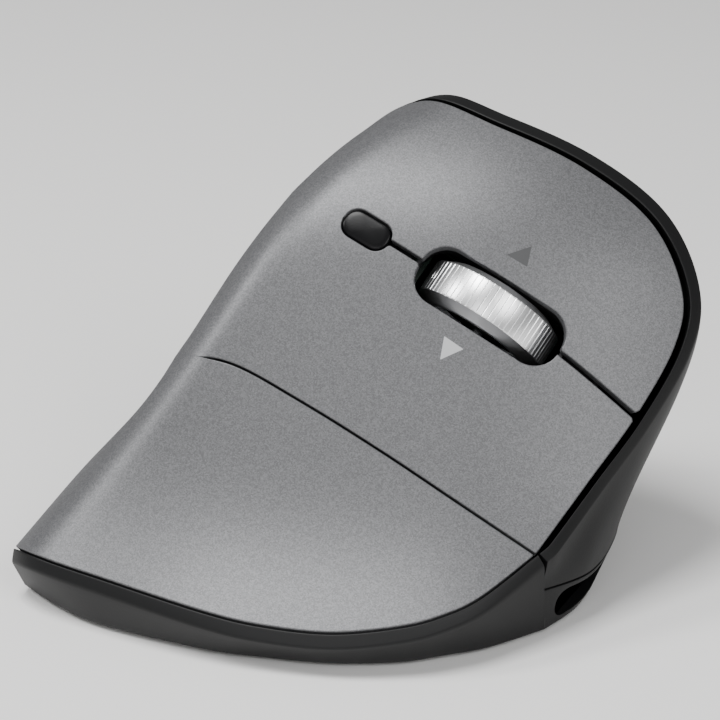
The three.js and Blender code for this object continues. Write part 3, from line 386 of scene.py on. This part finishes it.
def faced_outwards(verts, faces, shading):
    """The faces wound so that each looks the same way as its points' shading."""
    turned = []
    for f in faces:
        f = [v for k, v in enumerate(f) if v != f[k - 1]]
        if len(f) < 3:
            continue
        p = verts[f]
        way = np.cross(p[1] - p[0], p[2] - p[0])
        if len(f) == 4:
            way = way + np.cross(p[2] - p[0], p[3] - p[0])
        turned.append(f if way @ shading[f].sum(0) >= 0 else f[::-1])
    return turned


def bar_outline(length, width, radius, steps=8):
    """Closed outline of a rounded bar about the origin, anticlockwise."""
    points = []
    for k, (sx, sy) in enumerate([(1, 1), (-1, 1), (-1, -1), (1, -1)]):
        for t in np.linspace(0, math.pi / 2, steps + 1):
            angle = k * math.pi / 2 + t
            points.append((
                sx * (length / 2 - radius) + radius * math.cos(angle),
                sy * (width / 2 - radius) + radius * math.sin(angle),
            ))
    p = np.array(points)
    return p[np.linalg.norm(p - np.roll(p, 1, axis=0), axis=1) > 1e-6]


def prism(name, outline, low, high, axes, material, body, edge=0.0, dome=0.0):
    """An outline in a frame's x and y, from low to high along its z, with a rounded and domed top."""
    origin, x, y, z = axes
    inward = inward_normals(outline)
    steps = [(0, low), (0, high - edge)]
    if edge:
        for angle in (30, 60, 90):
            a = math.radians(angle)
            steps.append((edge * (1 - math.cos(a)), high - edge + edge * math.sin(a)))
    rings = [(outline + inward * inset, height) for inset, height in steps]
    if dome:
        top, height = rings[-1]
        for share in (0.8, 0.55, 0.28):
            rings.append((top * share, height + dome * (1 - share**2)))
    verts, count = [], len(outline)
    for flat, height in rings:
        verts.extend(origin + flat[:, :1] * x + flat[:, 1:] * y + height * z)
    verts.append(origin + (rings[-1][1] + DOME_PEAK * dome) * z)
    verts.append(origin + low * z)
    top, bottom = len(verts) - 2, len(verts) - 1
    faces = [(b, c, d, a) for a, b, c, d in grid_faces(len(rings), count, wrap_columns=True)]
    last = (len(rings) - 1) * count
    faces += [(last + j, last + (j + 1) % count, top) for j in range(count)]
    faces += [((j + 1) % count, j, bottom) for j in range(count)]
    obj = add_object(name, verts, faces, material, body)
    obj.data.set_sharp_from_angle(angle=math.radians(35))
    return obj


def carve(obj, *cutters):
    """Cuts the cutters out of the object and removes them."""
    for cutter in cutters:
        step = obj.modifiers.new("cut", "BOOLEAN")
        step.operation = "DIFFERENCE"
        step.solver = "EXACT"
        step.object = cutter
        bpy.context.view_layer.update()
        shape = obj.evaluated_get(bpy.context.evaluated_depsgraph_get())
        mesh = bpy.data.meshes.new_from_object(shape)
        obj.modifiers.clear()
        obj.data = mesh
        bpy.data.objects.remove(cutter)
    obj.data.set_sharp_from_angle(angle=math.radians(40))


# ---------------------------------------------------------------- materials


def principled(name, color, roughness, metallic=0.0, **inputs):
    material = bpy.data.materials.new(name)
    material.use_nodes = True
    shader = material.node_tree.nodes["Principled BSDF"]
    shader.inputs["Base Color"].default_value = (*color, 1)
    shader.inputs["Roughness"].default_value = roughness
    shader.inputs["Metallic"].default_value = metallic
    for key, value in inputs.items():
        shader.inputs[key.replace("_", " ")].default_value = value
    return material, shader


def object_noise(material, scale):
    nodes, links = material.node_tree.nodes, material.node_tree.links
    place = nodes.new("ShaderNodeTexCoord")
    noise = nodes.new("ShaderNodeTexNoise")
    noise.inputs["Scale"].default_value = scale
    noise.inputs["Detail"].default_value = 2
    links.new(place.outputs["Object"], noise.inputs["Vector"])
    return noise


def relief(material, shader, height_socket, strength, distance):
    """Bumps on the surface from a height."""
    nodes, links = material.node_tree.nodes, material.node_tree.links
    bump = nodes.new("ShaderNodeBump")
    bump.inputs["Strength"].default_value = strength
    bump.inputs["Distance"].default_value = distance
    links.new(height_socket, bump.inputs["Height"])
    links.new(bump.outputs["Normal"], shader.inputs["Normal"])


def grain(material, shader, scale, strength, distance):
    """A fine moulded grain on the surface."""
    relief(material, shader, object_noise(material, scale).outputs["Fac"], strength, distance)


def tint(material, shader, factor_socket, low, high):
    """Base colour between two colours by a factor."""
    nodes, links = material.node_tree.nodes, material.node_tree.links
    ramp_node = nodes.new("ShaderNodeValToRGB")
    ramp_node.color_ramp.elements[0].color = (*low, 1)
    ramp_node.color_ramp.elements[1].color = (*high, 1)
    links.new(factor_socket, ramp_node.inputs["Fac"])
    links.new(ramp_node.outputs["Color"], shader.inputs["Base Color"])
    return ramp_node


def flake_paint():
    """Grey paint with fine metallic flakes under a satin coat."""
    material, shader = principled("flake_paint", (0.15, 0.15, 0.154), 0.42, 0.3)
    nodes, links = material.node_tree.nodes, material.node_tree.links
    place = nodes.new("ShaderNodeTexCoord")
    cells = nodes.new("ShaderNodeTexVoronoi")
    cells.inputs["Scale"].default_value = 5200
    links.new(place.outputs["Object"], cells.inputs["Vector"])
    flakes = tint(material, shader, cells.outputs["Color"], (0.09, 0.091, 0.095), (0.155, 0.156, 0.162))
    flakes.color_ramp.elements[0].position = 0.2
    flakes.color_ramp.elements[1].position = 0.95
    relief(material, shader, cells.outputs["Color"], 0.12, 0.00003)
    return material


def moulded_black():
    material, shader = principled("moulded_black", (0.006, 0.0061, 0.0064), 0.48, Specular_IOR_Level=0.25)
    grain(material, shader, 2600, 0.25, 0.00006)
    return material


def glossy_black():
    return principled("glossy_black", (0.004, 0.004, 0.0045), 0.24, Specular_IOR_Level=0.15)[0]


def polished_alloy():
    material, shader = principled("polished_alloy", (0.86, 0.865, 0.875), 0.33, 1.0)
    grain(material, shader, 3000, 0.05, 0.00002)
    return material


def plain(name, color, roughness, metallic=0.0):
    """A single flat colour."""
    return principled(name, color, roughness, metallic)[0]


PAINT = flake_paint()
BLACK = moulded_black()
GLOSS = glossy_black()
ALLOY = polished_alloy()
INNER = plain("inner_black", (0.008, 0.008, 0.009), 0.6)
STEEL = plain("bright_steel", (0.6, 0.61, 0.63), 0.25, 1.0)
BOARD = plain("circuit_board", (0.006, 0.03, 0.016), 0.45)
CHIP = plain("component_black", (0.014, 0.014, 0.015), 0.4)
CELL = plain("battery_wrap", (0.05, 0.16, 0.36), 0.35)
GLIDE = plain("glide_pad", (0.03, 0.031, 0.034), 0.3)
RIBBON = plain("ribbon_film", (0.6, 0.5, 0.33), 0.5)
LENS = principled("clear_lens", (0.85, 0.9, 0.93), 0.05, Transmission_Weight=0.9)[0]
MARK_DARK = plain("print_dark", (0.045, 0.046, 0.048), 0.5)
MARK_LIGHT = plain("print_light", (0.42, 0.425, 0.435), 0.45)

# ---------------------------------------------------------------- face covers


def split_path(start, end, side):
    """Along the key split between two distances from the wheel, on one side of the gap."""
    t = np.linspace(0, 1, 400)
    ab = shifted(KEY_SPLIT, t, side * KEY_GAP / 2)
    c, s = math.cos(ROLL), math.sin(ROLL)
    along = (ab[:, 0] - WHEEL_AT[0]) * c + (ab[:, 1] - WHEEL_AT[1]) * s
    stops = np.linspace(start, end, 40)
    return np.stack([np.interp(stops, along, ab[:, k]) for k in (0, 1)], 1)


def half_opening(length, width, radius, side, at, clear):
    """Half of a rounded opening, from its front end to its back end, on the upper or lower side."""
    half = bar_outline(length, width, radius)
    upper = half[half[:, 1] > clear]
    upper = upper[np.argsort(np.arctan2(upper[:, 1], upper[:, 0]))]
    path = np.vstack([[(length / 2, clear)], upper, [(-length / 2, clear)]])
    return finger(path * (1, side), at)


SPEED_OPEN = (SPEED[0] + 0.5, SPEED[1] + 0.5, SPEED[2] + 0.25)
SPEED_BACK = -SPEED_OPEN[0] / 2
SPEED_FRONT = -24.5 + SPEED_OPEN[0] / 2
SHARED_STATION = 4.85
RIDGE_END = rim(SHARED_STATION)[0]
SHARED_BOW = 1.2
SLOT_HALF = SLOT[0] / 2
SPLIT_END = 29.5  # end of the key split at the rim, from the wheel


def make_cover(name, segments, body, material=PAINT):
    outline, cuts = loop(*segments)
    return plate(name, outline, cuts, face_base, face_normal, material, body)


def palm_line(side):
    """Edge of a cover along the palm split, from the ridge; the seam closes before it gets there."""
    t = np.linspace(SEAM_START, 0.997, 160)
    gap = PALM_GAP / 2 * smoothstep(t, SEAM_START, SEAM_START + 0.04)
    return shifted(PALM_SPLIT, t, side * gap)


def palm_join():
    """The closed part of the palm split, from the ridge to the start of the seam."""
    path = spline(PALM_SPLIT, np.linspace(0.004, SEAM_START, 20))
    path[0] = rim(PALM_STATION)[0]
    return path


def shared_line():
    """Cut edge of both covers from the small button to the ridge, bowed so that no three points line up."""
    t = np.linspace(0, 1, 200)[:, None]
    start = finger((SPEED_BACK, 0), SPEED_AT)
    line = start + t * (RIDGE_END - start)
    line[:, 1] += SHARED_BOW * (t * (1 - t))[:, 0]
    return line


def upper_cover():
    edge = rim(np.linspace(SHARED_STATION, SPLIT_STATION - 0.05, 160))
    cover = make_cover("button_cover_upper", [
        (edge, 0.0, False),
        (split_path(SPLIT_END, SLOT_HALF, -1), 0.3, False),
        (half_opening(*SLOT, 1, WHEEL_AT, KEY_GAP / 2), 0.4, False),
        (split_path(-SLOT_HALF, SPEED_FRONT, -1), 0.4, False),
        (half_opening(*SPEED_OPEN, 1, SPEED_AT, KEY_GAP / 2)[:-1], 0.4, False),
        (shared_line(), 0.0, True),
    ], None)
    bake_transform(cover)
    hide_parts("left_button", "button_bridge")


def lower_cover():
    cover = make_cover("button_cover_lower", [
        (shared_line()[::-1], 0.0, True),
        (half_opening(*SPEED_OPEN, -1, SPEED_AT, KEY_GAP / 2)[:-1][::-1], 0.0, False),
        (split_path(SPEED_FRONT, -SLOT_HALF, 1), 0.4, False),
        (half_opening(*SLOT, -1, WHEEL_AT, KEY_GAP / 2)[::-1], 0.4, False),
        (split_path(SLOT_HALF, SPLIT_END, 1), 0.4, False),
        (rim(np.linspace(SPLIT_STATION + 0.08, 14.96, 50)), 0.3, False),
        (palm_line(-1)[::-1], 0.3, False),
        (palm_join()[::-1], 0.0, True),
        (rim(np.linspace(PALM_STATION, SHARED_STATION, 60)), 0.0, False),
    ], None)
    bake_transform(cover)
    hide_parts("right_button")


def palm_cover():
    ridge = np.linspace(0.01, PALM_STATION, 90)
    cover = make_cover("palm_cover", [
        (palm_join(), 0.0, True),
        (palm_line(1), 0.0, False),
        (spline(SKIRT, np.linspace(0.99, 0.002, 200)), 0.4, False),
        (rim(ridge), 0.15, False),
    ], "casing")
    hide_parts("palm_panel")


def printed_marks():
    marks = [
        ("speed_mark_dark", [(26.6, -16.1), (30.6, -17.9), (30.1, -14.3)], MARK_DARK, "left_key"),
        ("speed_mark_light", [(17.3, -1.6), (20.6, 0.4), (16.9, 2.4)], MARK_LIGHT, "right_key"),
    ]
    for name, corners, material, body in marks:
        sides = [
            (np.array([corners[k], corners[(k + 1) % 3]], float), 0.15, False)
            for k in range(3)
        ]
        outline, cuts = loop(*sides)
        plate(name, outline, cuts, face_base, face_normal, material, body, thick=0.06, edge=0.01, lift=0.02)


# ---------------------------------------------------------------- black shell and tray


def shell_rows(station):
    return spline(SHELL, np.asarray(station, float) / LAST)


def foot(station):
    return shell_rows(station)[:, :3]


def foot_outward(station):
    s = np.asarray(station, float)
    way = unit(foot(np.minimum(s + 0.02, LAST))[:, :2] - foot(np.maximum(s - 0.02, 0))[:, :2])
    return np.stack([-way[:, 1], way[:, 0], np.zeros(len(way))], 1)


def groove(station):
    """Width of the groove between the face and its rim."""
    widened = 0.6 + 0.55 * smoothstep(station, 6, 11)
    return widened - 0.25 * smoothstep(station, 12, 15) - 0.5 * smoothstep(station, 14.75, 15)


def rim_width(station):
    """Width of the bevel around the face: narrow up the ridge, widest over the top."""
    return 1.8 + 1.4 * smoothstep(station, 6.4, 7.6) * (1 - smoothstep(station, 9, 13.5))


def ridge_drop(station):
    """How far the rim sits below the face along the ridge, where the face rolls over it."""
    return 0.6 * smoothstep(station, -0.4, 0.6) * (1 - smoothstep(station, 6.2, 7))


def rim_edge(station, width, drop):
    """Points beside the face's outline: outwards by the groove and a width, and below the face."""
    drop = np.reshape(drop + ridge_drop(station), (-1, 1))
    edge, way = rim(station), rim_outward(station)
    point, normal = face_base(edge), face_normal(edge)
    out = unit(point - face_base(edge - 0.1 * way))
    reach = groove(station) + width
    return point + out * np.reshape(reach, (-1, 1)) - normal * drop


def shell_point(station, t):
    """Points down the shell's wall, t from 0 under the rim to 1 at its foot."""
    station = np.asarray(station, float)
    rows = shell_rows(station)
    top = rim_edge(station, rim_width(station), RIM_DROP + ridge_drop(station))
    base = rows[:, :3]
    out = foot_outward(station)
    down = unit(-UP + out * rows[:, 3:4])
    up = unit(UP - out * rows[:, 4:5])
    reach = np.linalg.norm(top - base, axis=1)[:, None] * WALL_BEND
    t = np.reshape(t, (-1, 1))
    return (
        (1 - t) ** 3 * top + 3 * (1 - t) ** 2 * t * (top + down * reach)
        + 3 * (1 - t) * t * t * (base + up * reach) + t**3 * base
    )


def shell_normal(station, t):
    s = np.asarray(station, float)
    t = np.broadcast_to(np.asarray(t, float), s.shape)
    along = shell_point(np.minimum(s + 0.02, LAST), t) - shell_point(np.maximum(s - 0.02, 0), t)
    downward = shell_point(s, np.minimum(t + 0.01, 1)) - shell_point(s, np.maximum(t - 0.01, 0))
    return unit(np.cross(along, downward))


def rounded(points_before, corner, points_after, steps=3):
    """Rows of points that round a corner between two rows."""
    rows = []
    for k in range(1, steps + 1):
        t = k / (steps + 1)
        rows.append((1 - t) ** 2 * points_before + 2 * t * (1 - t) * corner + t * t * points_after)
    return [points_before, *rows, points_after]


def make_shell():
    s = np.linspace(SHELL_FROM, SHELL_TO, int(260 / FINE))
    edge = rim_edge(s, 0.0, 0.0)
    corner = rim_edge(s, rim_width(s), RIM_DROP + ridge_drop(s))
    rows = [rim_edge(s, 0.45, 2.3)]
    rows += rounded(rim_edge(s, 0.06, 0.3), edge, edge + 0.16 * (corner - edge))
    first = 0.012
    rows += rounded(edge + 0.84 * (corner - edge), corner, shell_point(s, first))
    for t in np.linspace(first, 1, int(56 / FINE) + 1)[1:]:
        rows.append(shell_point(s, t))
    inner = []
    for k in range(len(rows)):
        t = np.clip(0.06 + 0.94 * k / (len(rows) - 1), 0, 1)
        inner.append(shell_point(s, t) - shell_normal(s, t) * SHELL_WALL)
    inner[0] = rim_edge(s, 0.7, 2.6)
    inner[-1][:, 2] = rows[-1][:, 2]
    ring = rows + inner[::-1]
    verts = np.concatenate(ring)
    columns, count = len(s), len(rows)
    faces = grid_faces(len(ring), columns, wrap_rows=True)
    for j, flip in ((0, True), (columns - 1, False)):
        for k in range(count - 1):
            outer = (k * columns + j, (k + 1) * columns + j)
            inside = ((len(ring) - 2 - k) * columns + j, (len(ring) - 1 - k) * columns + j)
            quad = (outer[0], outer[1], inside[0], inside[1])
            faces.append(quad[::-1] if flip else quad)
    shell = add_object("thumb_casing", verts, faces, BLACK)
    carve(shell, *[thumb_patch("cutter", span, 0.35, 4.0, -5.0, None) for span in THUMB_SPANS.values()])
    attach(shell, "casing")
    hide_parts("thumb_shell")


THUMB_ROWS = (0.2, 0.325)
THUMB_SPANS = {"back": (7.35, 8.28), "forward": (8.36, 9.3)}


def thumb_scale(span):
    """Millimetres per station and per t at the middle of a thumb button."""
    middle = sum(span) / 2
    rows = sum(THUMB_ROWS) / 2
    ends = shell_point(np.array(span), rows)
    heights = shell_point(np.array([middle, middle]), np.array(THUMB_ROWS))
    along = np.linalg.norm(ends[1] - ends[0]) / (span[1] - span[0])
    down = np.linalg.norm(heights[1] - heights[0]) / (THUMB_ROWS[1] - THUMB_ROWS[0])
    return along, down


def thumb_outline(span, grow, radius):
    """Outline of a thumb button in millimetres along and down the shell, with rounded corners."""
    along, down = thumb_scale(span)
    length = (span[1] - span[0]) * along + 2 * grow
    height = (THUMB_ROWS[1] - THUMB_ROWS[0]) * down + 2 * grow
    return bar_outline(length, height, radius, 6)


def on_shell(span):
    """Surface point and normal functions of millimetres about a thumb button's middle."""
    along, down = thumb_scale(span)
    middle, rows = sum(span) / 2, sum(THUMB_ROWS) / 2

    def base(flat):
        return shell_point(middle + flat[:, 0] / along, rows + flat[:, 1] / down)

    def normal(flat):
        return shell_normal(middle + flat[:, 0] / along, rows + flat[:, 1] / down)

    return base, normal


def thumb_patch(name, span, grow, high, low, body):
    """A closed slab over a thumb button's outline, used to cut the shell."""
    outline = resample(thumb_outline(span, grow, 1.6 + grow), 0.8, closed=True)
    base, normal = on_shell(span)
    flat, triangles = fill(outline, 3.0)
    up = normal(flat)
    verts = np.vstack([base(flat) + up * high, base(flat) + up * low])
    count, shift = len(outline), len(flat)
    faces = [tuple(t) for t in triangles] + [tuple(t[::-1] + shift) for t in triangles]
    nearest = [int(np.argmin(np.sum((flat - q) ** 2, 1))) for q in outline]
    for j in range(count):
        a, b = nearest[j], nearest[(j + 1) % count]
        faces.append((a, b, b + shift, a + shift))
    obj = add_object(name, verts, faces, INNER, body)
    tidy_normals(obj)
    return obj


def tidy_normals(obj):
    work = bmesh.new()
    work.from_mesh(obj.data)
    bmesh.ops.recalc_face_normals(work, faces=work.faces)
    work.to_mesh(obj.data)
    work.free()


def thumb_buttons():
    for side, span in THUMB_SPANS.items():
        outline = resample(thumb_outline(span, 0, 1.6), 0.4, closed=True)
        base, normal = on_shell(span)
        square = np.zeros(len(outline), bool)
        cap = plate(
            f"thumb_{side}_cap", outline, square, base, normal, GLOSS, f"thumb_{side}_key",
            thick=2.4, edge=0.6, lift=0.9,
        )
        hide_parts(f"{side}_button")


# ---------------------------------------------------------------- base tray

TRAY_GAP = 0.35
UNDER_EDGE = 0.6  # reach of the rounding at the tray's lower edge, under the tray
LIP_EDGE = 0.3  # reach of the rounding at its upper edge, down the inside
TRAY_MIDDLE = np.array([14.0, -2.0])
SOCKET_AT = np.array([28, 43.1, 4.9])
SOCKET_OUT = np.array([0.335, 0.942, 0.0])
SOCKET_AXES = (SOCKET_AT, np.array([0.942, -0.335, 0.0]), -UP, SOCKET_OUT)
RECESS = (17.4, 5.6, 2.4)
RECESS_AXES = (SOCKET_AT + 1.3 * SOCKET_AXES[1], *SOCKET_AXES[1:])
RECESS_DEPTH = 4.4
SOCKET_WALL = (19.6, 7.4, 1.0)  # length, width, corner radius, as for the holes
SOCKET_HOLE = (9.8, 4.0, 1.9)
SENSOR_HOLE = (9, 7, 0.8)
POWER_HOLE = (3.4, 7.0, 0.8)
SCREW_HOLE_R = 2.5
SCREWS = [(41, -24), (41, 15), (-17.3, -8), (-17.3, 14)]
SENSOR_AT = (17, 4)
POWER_AT = (27, -22)
UPRIGHT = (np.array([1.0, 0, 0]), np.array([0, 1.0, 0]), UP)


def tray_rows(low, bevel, top, lip, inside, inner):
    """Rows of points from under the tray's rim, up its outer wall, over its edge and down inside."""
    middle = np.array([*TRAY_MIDDLE, 0])
    under = low + UNDER_EDGE * unit((middle - low) * (1, 1, 0))
    rows = rounded(under, low, low + 0.06 * (bevel - low))
    for t in (0.2, 0.4, 0.6, 0.8):
        rows.append(low + t * (bevel - low))
    rows += rounded(low + 0.93 * (bevel - low), bevel, bevel + 0.2 * (top - bevel))
    rows += rounded(bevel + 0.85 * (top - bevel), top, top + LIP_EDGE * unit(lip - top))
    return np.stack([*rows, lip, inside, inner])


def tray_right(t):
    ground = spline(GROUND_RIGHT, t)
    low = np.column_stack([ground, np.full(len(t), FLOOR_Z)])
    inner = ground + 0.06 * (TRAY_MIDDLE - ground)
    ledge = -2.3 - 1.1 * smoothstep(t, 0.84, 0.95)
    level = np.zeros(len(t))
    bevel = face_point(shifted(SKIRT, t, TRAY_GAP + 2), level - 1)
    top = face_point(shifted(SKIRT, t, TRAY_GAP), level)
    lip = face_point(shifted(SKIRT, t, TRAY_GAP), ledge)
    inside = face_point(shifted(SKIRT, t, -2.2), ledge)
    return tray_rows(low, bevel, top, lip, inside, np.column_stack([inner, level + FLOOR_Z + 2]))


def tray_left(station):
    out, ground = foot_outward(station), spline(GROUND_LEFT, station / LAST)
    low = np.column_stack([ground, np.full(len(station), FLOOR_Z)])
    top = foot(station) - UP * TRAY_GAP
    inner = ground + 0.06 * (TRAY_MIDDLE - ground)
    return tray_rows(
        low, top + 0.14 * (low - top), top, top - out, top - 2.2 * out,
        np.column_stack([inner, np.full(len(station), FLOOR_Z + 2)]),
    )


def rounded_bar(name, size, low, high, axes, body=None, material=INNER):
    return prism(name, bar_outline(*size), low, high, axes, material, body)


def round_post(name, xy, radius, low, high):
    axes = (np.array([*xy, 0.0]), *UPRIGHT)
    outline = bar_outline(2 * radius, 2 * radius, radius - 0.001)
    return prism(name, outline, low, high, axes, INNER, None)


def make_tray():
    right = tray_right(np.linspace(0, 1, int(150 / FINE)))
    left = tray_left(np.linspace(SHELL_TO, SHELL_FROM, int(220 / FINE)))
    rows = np.concatenate([right, left], axis=1)
    count, columns = rows.shape[:2]
    verts = np.vstack([rows.reshape(-1, 3), [*TRAY_MIDDLE, FLOOR_Z], [*TRAY_MIDDLE, FLOOR_Z + 2]])
    under, over = count * columns, count * columns + 1
    faces = grid_faces(count, columns, wrap_columns=True)
    last = (count - 1) * columns
    for j in range(columns):
        i = (j + 1) % columns
        faces.append((i, j, under))
        faces.append((last + j, last + i, over))
    tray = add_object("base_moulding", verts, faces, BLACK)
    cutters = [
        rounded_bar("cutter", RECESS, -RECESS_DEPTH, 8, RECESS_AXES),
        rounded_bar("cutter", SENSOR_HOLE, -4, 6, (np.array([*SENSOR_AT, 0.0]), *UPRIGHT)),
        rounded_bar("cutter", POWER_HOLE, -4, 6, (np.array([*POWER_AT, 0.0]), *UPRIGHT)),
    ]
    for at in SCREWS:
        cutters.append(round_post("cutter", at, SCREW_HOLE_R, -1, FLOOR_Z + 1.5))
    carve(tray, *cutters)
    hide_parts("base_tray")
    wall = rounded_bar("socket_wall", SOCKET_WALL, -7.5, -2.6, RECESS_AXES, "casing", BLACK)
    carve(
        wall, rounded_bar("cutter", RECESS, -RECESS_DEPTH, 6, RECESS_AXES),
        rounded_bar("cutter", SOCKET_HOLE, -9, 0, SOCKET_AXES),
    )


# ---------------------------------------------------------------- wheel and speed button

WHEEL_AXES = face_axes(WHEEL_AT)
WELL_OUTER = (29.0, 12.0, 5.4)  # length, width, corner radius
WELL_INNER = (27.8, 10.8, 4.8)
WELL_LOW, WELL_TOP = -6.7, -3.0


def make_wheel():
    origin, x, y, z = WHEEL_AXES
    centre = origin - WHEEL_DEPTH * z
    half, band, low = WHEEL_WIDTH / 2, WHEEL_BAND / 2, WHEEL_R - WHEEL_BEVEL
    groove_depth = 0.08
    slope = WHEEL_BEVEL / (half - band)
    profile = [(8.5, half - 0.6), (8.62, half - 0.2), (9.0, half)]
    profile += [(low - 0.15, half), (low + 0.05, half - 0.03), (low + 0.2, half - 0.12)]
    profile += [(WHEEL_R - 0.3, band + 0.3 / slope), (WHEEL_R - groove_depth, band + 0.1)]
    profile += [(WHEEL_R - 0.05, band + 0.01), (WHEEL_R, band - 0.12)]
    profile = profile + [(r, -w) for r, w in profile[::-1]]
    per_tooth = 10
    angles = np.arange(TEETH * per_tooth) * 2 * math.pi / (TEETH * per_tooth)
    cut = np.tile([0] * (per_tooth - 1) + [1], TEETH) * groove_depth
    rows = []
    for radius, width in profile:
        reach = np.minimum(radius, WHEEL_R - cut)[:, None]
        ring = np.cos(angles)[:, None] * x + np.sin(angles)[:, None] * z
        rows.append(centre + width * y + reach * ring)
    faces = grid_faces(len(rows), len(angles), wrap_rows=True, wrap_columns=True)
    wheel = add_object("wheel_tyre", np.concatenate(rows), faces, ALLOY, "wheel")
    tidy_normals(wheel)
    wheel.data.set_sharp_from_angle(angle=math.radians(28))
    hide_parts("wheel_rim")


def make_well():
    """A dark sleeve around the wheel, under the covers."""
    outer = bar_outline(*WELL_OUTER)
    inner = bar_outline(*WELL_INNER)
    origin, x, y, z = WHEEL_AXES
    rings = [(outer, WELL_LOW), (outer, WELL_TOP), (inner, WELL_TOP), (inner, WELL_LOW)]
    verts = np.vstack([origin + flat[:, :1] * x + flat[:, 1:] * y + height * z for flat, height in rings])
    faces = grid_faces(4, len(outer), wrap_rows=True, wrap_columns=True)
    well = add_object("wheel_well_sleeve", verts, faces, INNER)
    tidy_normals(well)
    well.data.set_sharp_from_angle(angle=math.radians(35))


def make_speed_button():
    axes = face_axes(SPEED_AT)
    cap = prism("speed_button_cap", bar_outline(*SPEED), -2.8, -0.15, axes, GLOSS, "speed_key", 0.35, 0.12)
    skirt = prism(
        "speed_button_skirt", bar_outline(SPEED[0] + 2.5, SPEED[1] + 2.5, SPEED[2] + 1), -3.7, -2.9, axes,
        GLOSS, "speed_key",
    )
    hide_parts("dpi_button")


# ---------------------------------------------------------------- materials of the pieces kept from the frame

KEPT = {
    INNER: [
        "face_frame", "wheel_cradle", "wheel_hub", "pivot_bracket_left", "pivot_bracket_right",
        "left_plunger", "right_plunger", "power_knob",
    ],
    STEEL: ["screw_1", "screw_2", "screw_3", "screw_4", "wheel_axle", "charging_socket"],
    BOARD: ["thumb_board", "button_board", "main_board"],
    CHIP: [
        "back_switch", "forward_switch", "left_switch", "right_switch", "wheel_encoder", "middle_switch",
        "dpi_switch", "sensor_chip", "controller_chip", "socket_tongue", "power_switch",
    ],
    CELL: ["battery_cell"],
    LENS: ["sensor_lens"],
    GLIDE: ["glide_foot_1", "glide_foot_2", "glide_foot_3", "glide_foot_4"],
    RIBBON: ["button_ribbon"],
}


def dress_kept_nodes():
    for material, names in KEPT.items():
        for name in names:
            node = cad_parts[name]
            node.data.materials.clear()
            node.data.materials.append(material)
            bevel = node.modifiers.new("soft edges", "BEVEL")
            bevel.width = 0.00012
            bevel.segments = 2
            bevel.angle_limit = math.radians(40)
            bevel.harden_normals = False


# ---------------------------------------------------------------- floor, light and camera


def studio():
    bpy.ops.mesh.primitive_plane_add(size=6, location=(0, 0, 0))
    floor = bpy.context.object
    floor.name = "floor"
    floor.data.materials.append(plain("pale_floor", (0.9, 0.895, 0.885), 0.6))
    world = bpy.data.worlds.new("studio")
    bpy.context.scene.world = world
    world.use_nodes = True
    world.node_tree.nodes["Background"].inputs["Color"].default_value = (1, 1, 1, 1)
    world.node_tree.nodes["Background"].inputs["Strength"].default_value = 0.24
    target = Vector((0, 0, 0.03))
    lights = [
        ("key", (0.12, -0.6, 0.62), 0.2, 3.0),
        ("top", (0.16, -0.2, 0.95), 0.32, 8.0),
        ("right", (0.55, 0.5, 0.6), 0.45, 3.5),
        ("front", (0.95, -0.1, 0.55), 0.6, 3.0),
    ]
    for name, place, size, power in lights:
        data = bpy.data.lights.new(name, "AREA")
        data.size = size
        data.energy = power
        lamp = bpy.data.objects.new(name, data)
        bpy.context.collection.objects.link(lamp)
        lamp.location = place
        lamp.rotation_euler = (target - Vector(place)).to_track_quat("-Z", "Y").to_euler()


def place_camera():
    azimuth, elevation, distance = math.radians(8), math.radians(24), 0.4
    target = Vector((-0.0045, -0.0008, 0.036))
    back = Vector((
        math.cos(azimuth) * math.cos(elevation), math.sin(azimuth) * math.cos(elevation), math.sin(elevation),
    ))
    camera = bpy.data.objects.new("camera", bpy.data.cameras.new("camera"))
    bpy.context.collection.objects.link(camera)
    camera.data.lens = 117
    camera.data.sensor_width = 36
    camera.data.clip_start = 0.01
    camera.location = target + back * distance
    camera.rotation_euler = (-back).to_track_quat("-Z", "Y").to_euler()
    bpy.context.scene.camera = camera


upper_cover()
lower_cover()
palm_cover()
printed_marks()
make_shell()
thumb_buttons()
make_tray()
make_wheel()
make_well()
make_speed_button()
dress_kept_nodes()
studio()
place_camera()
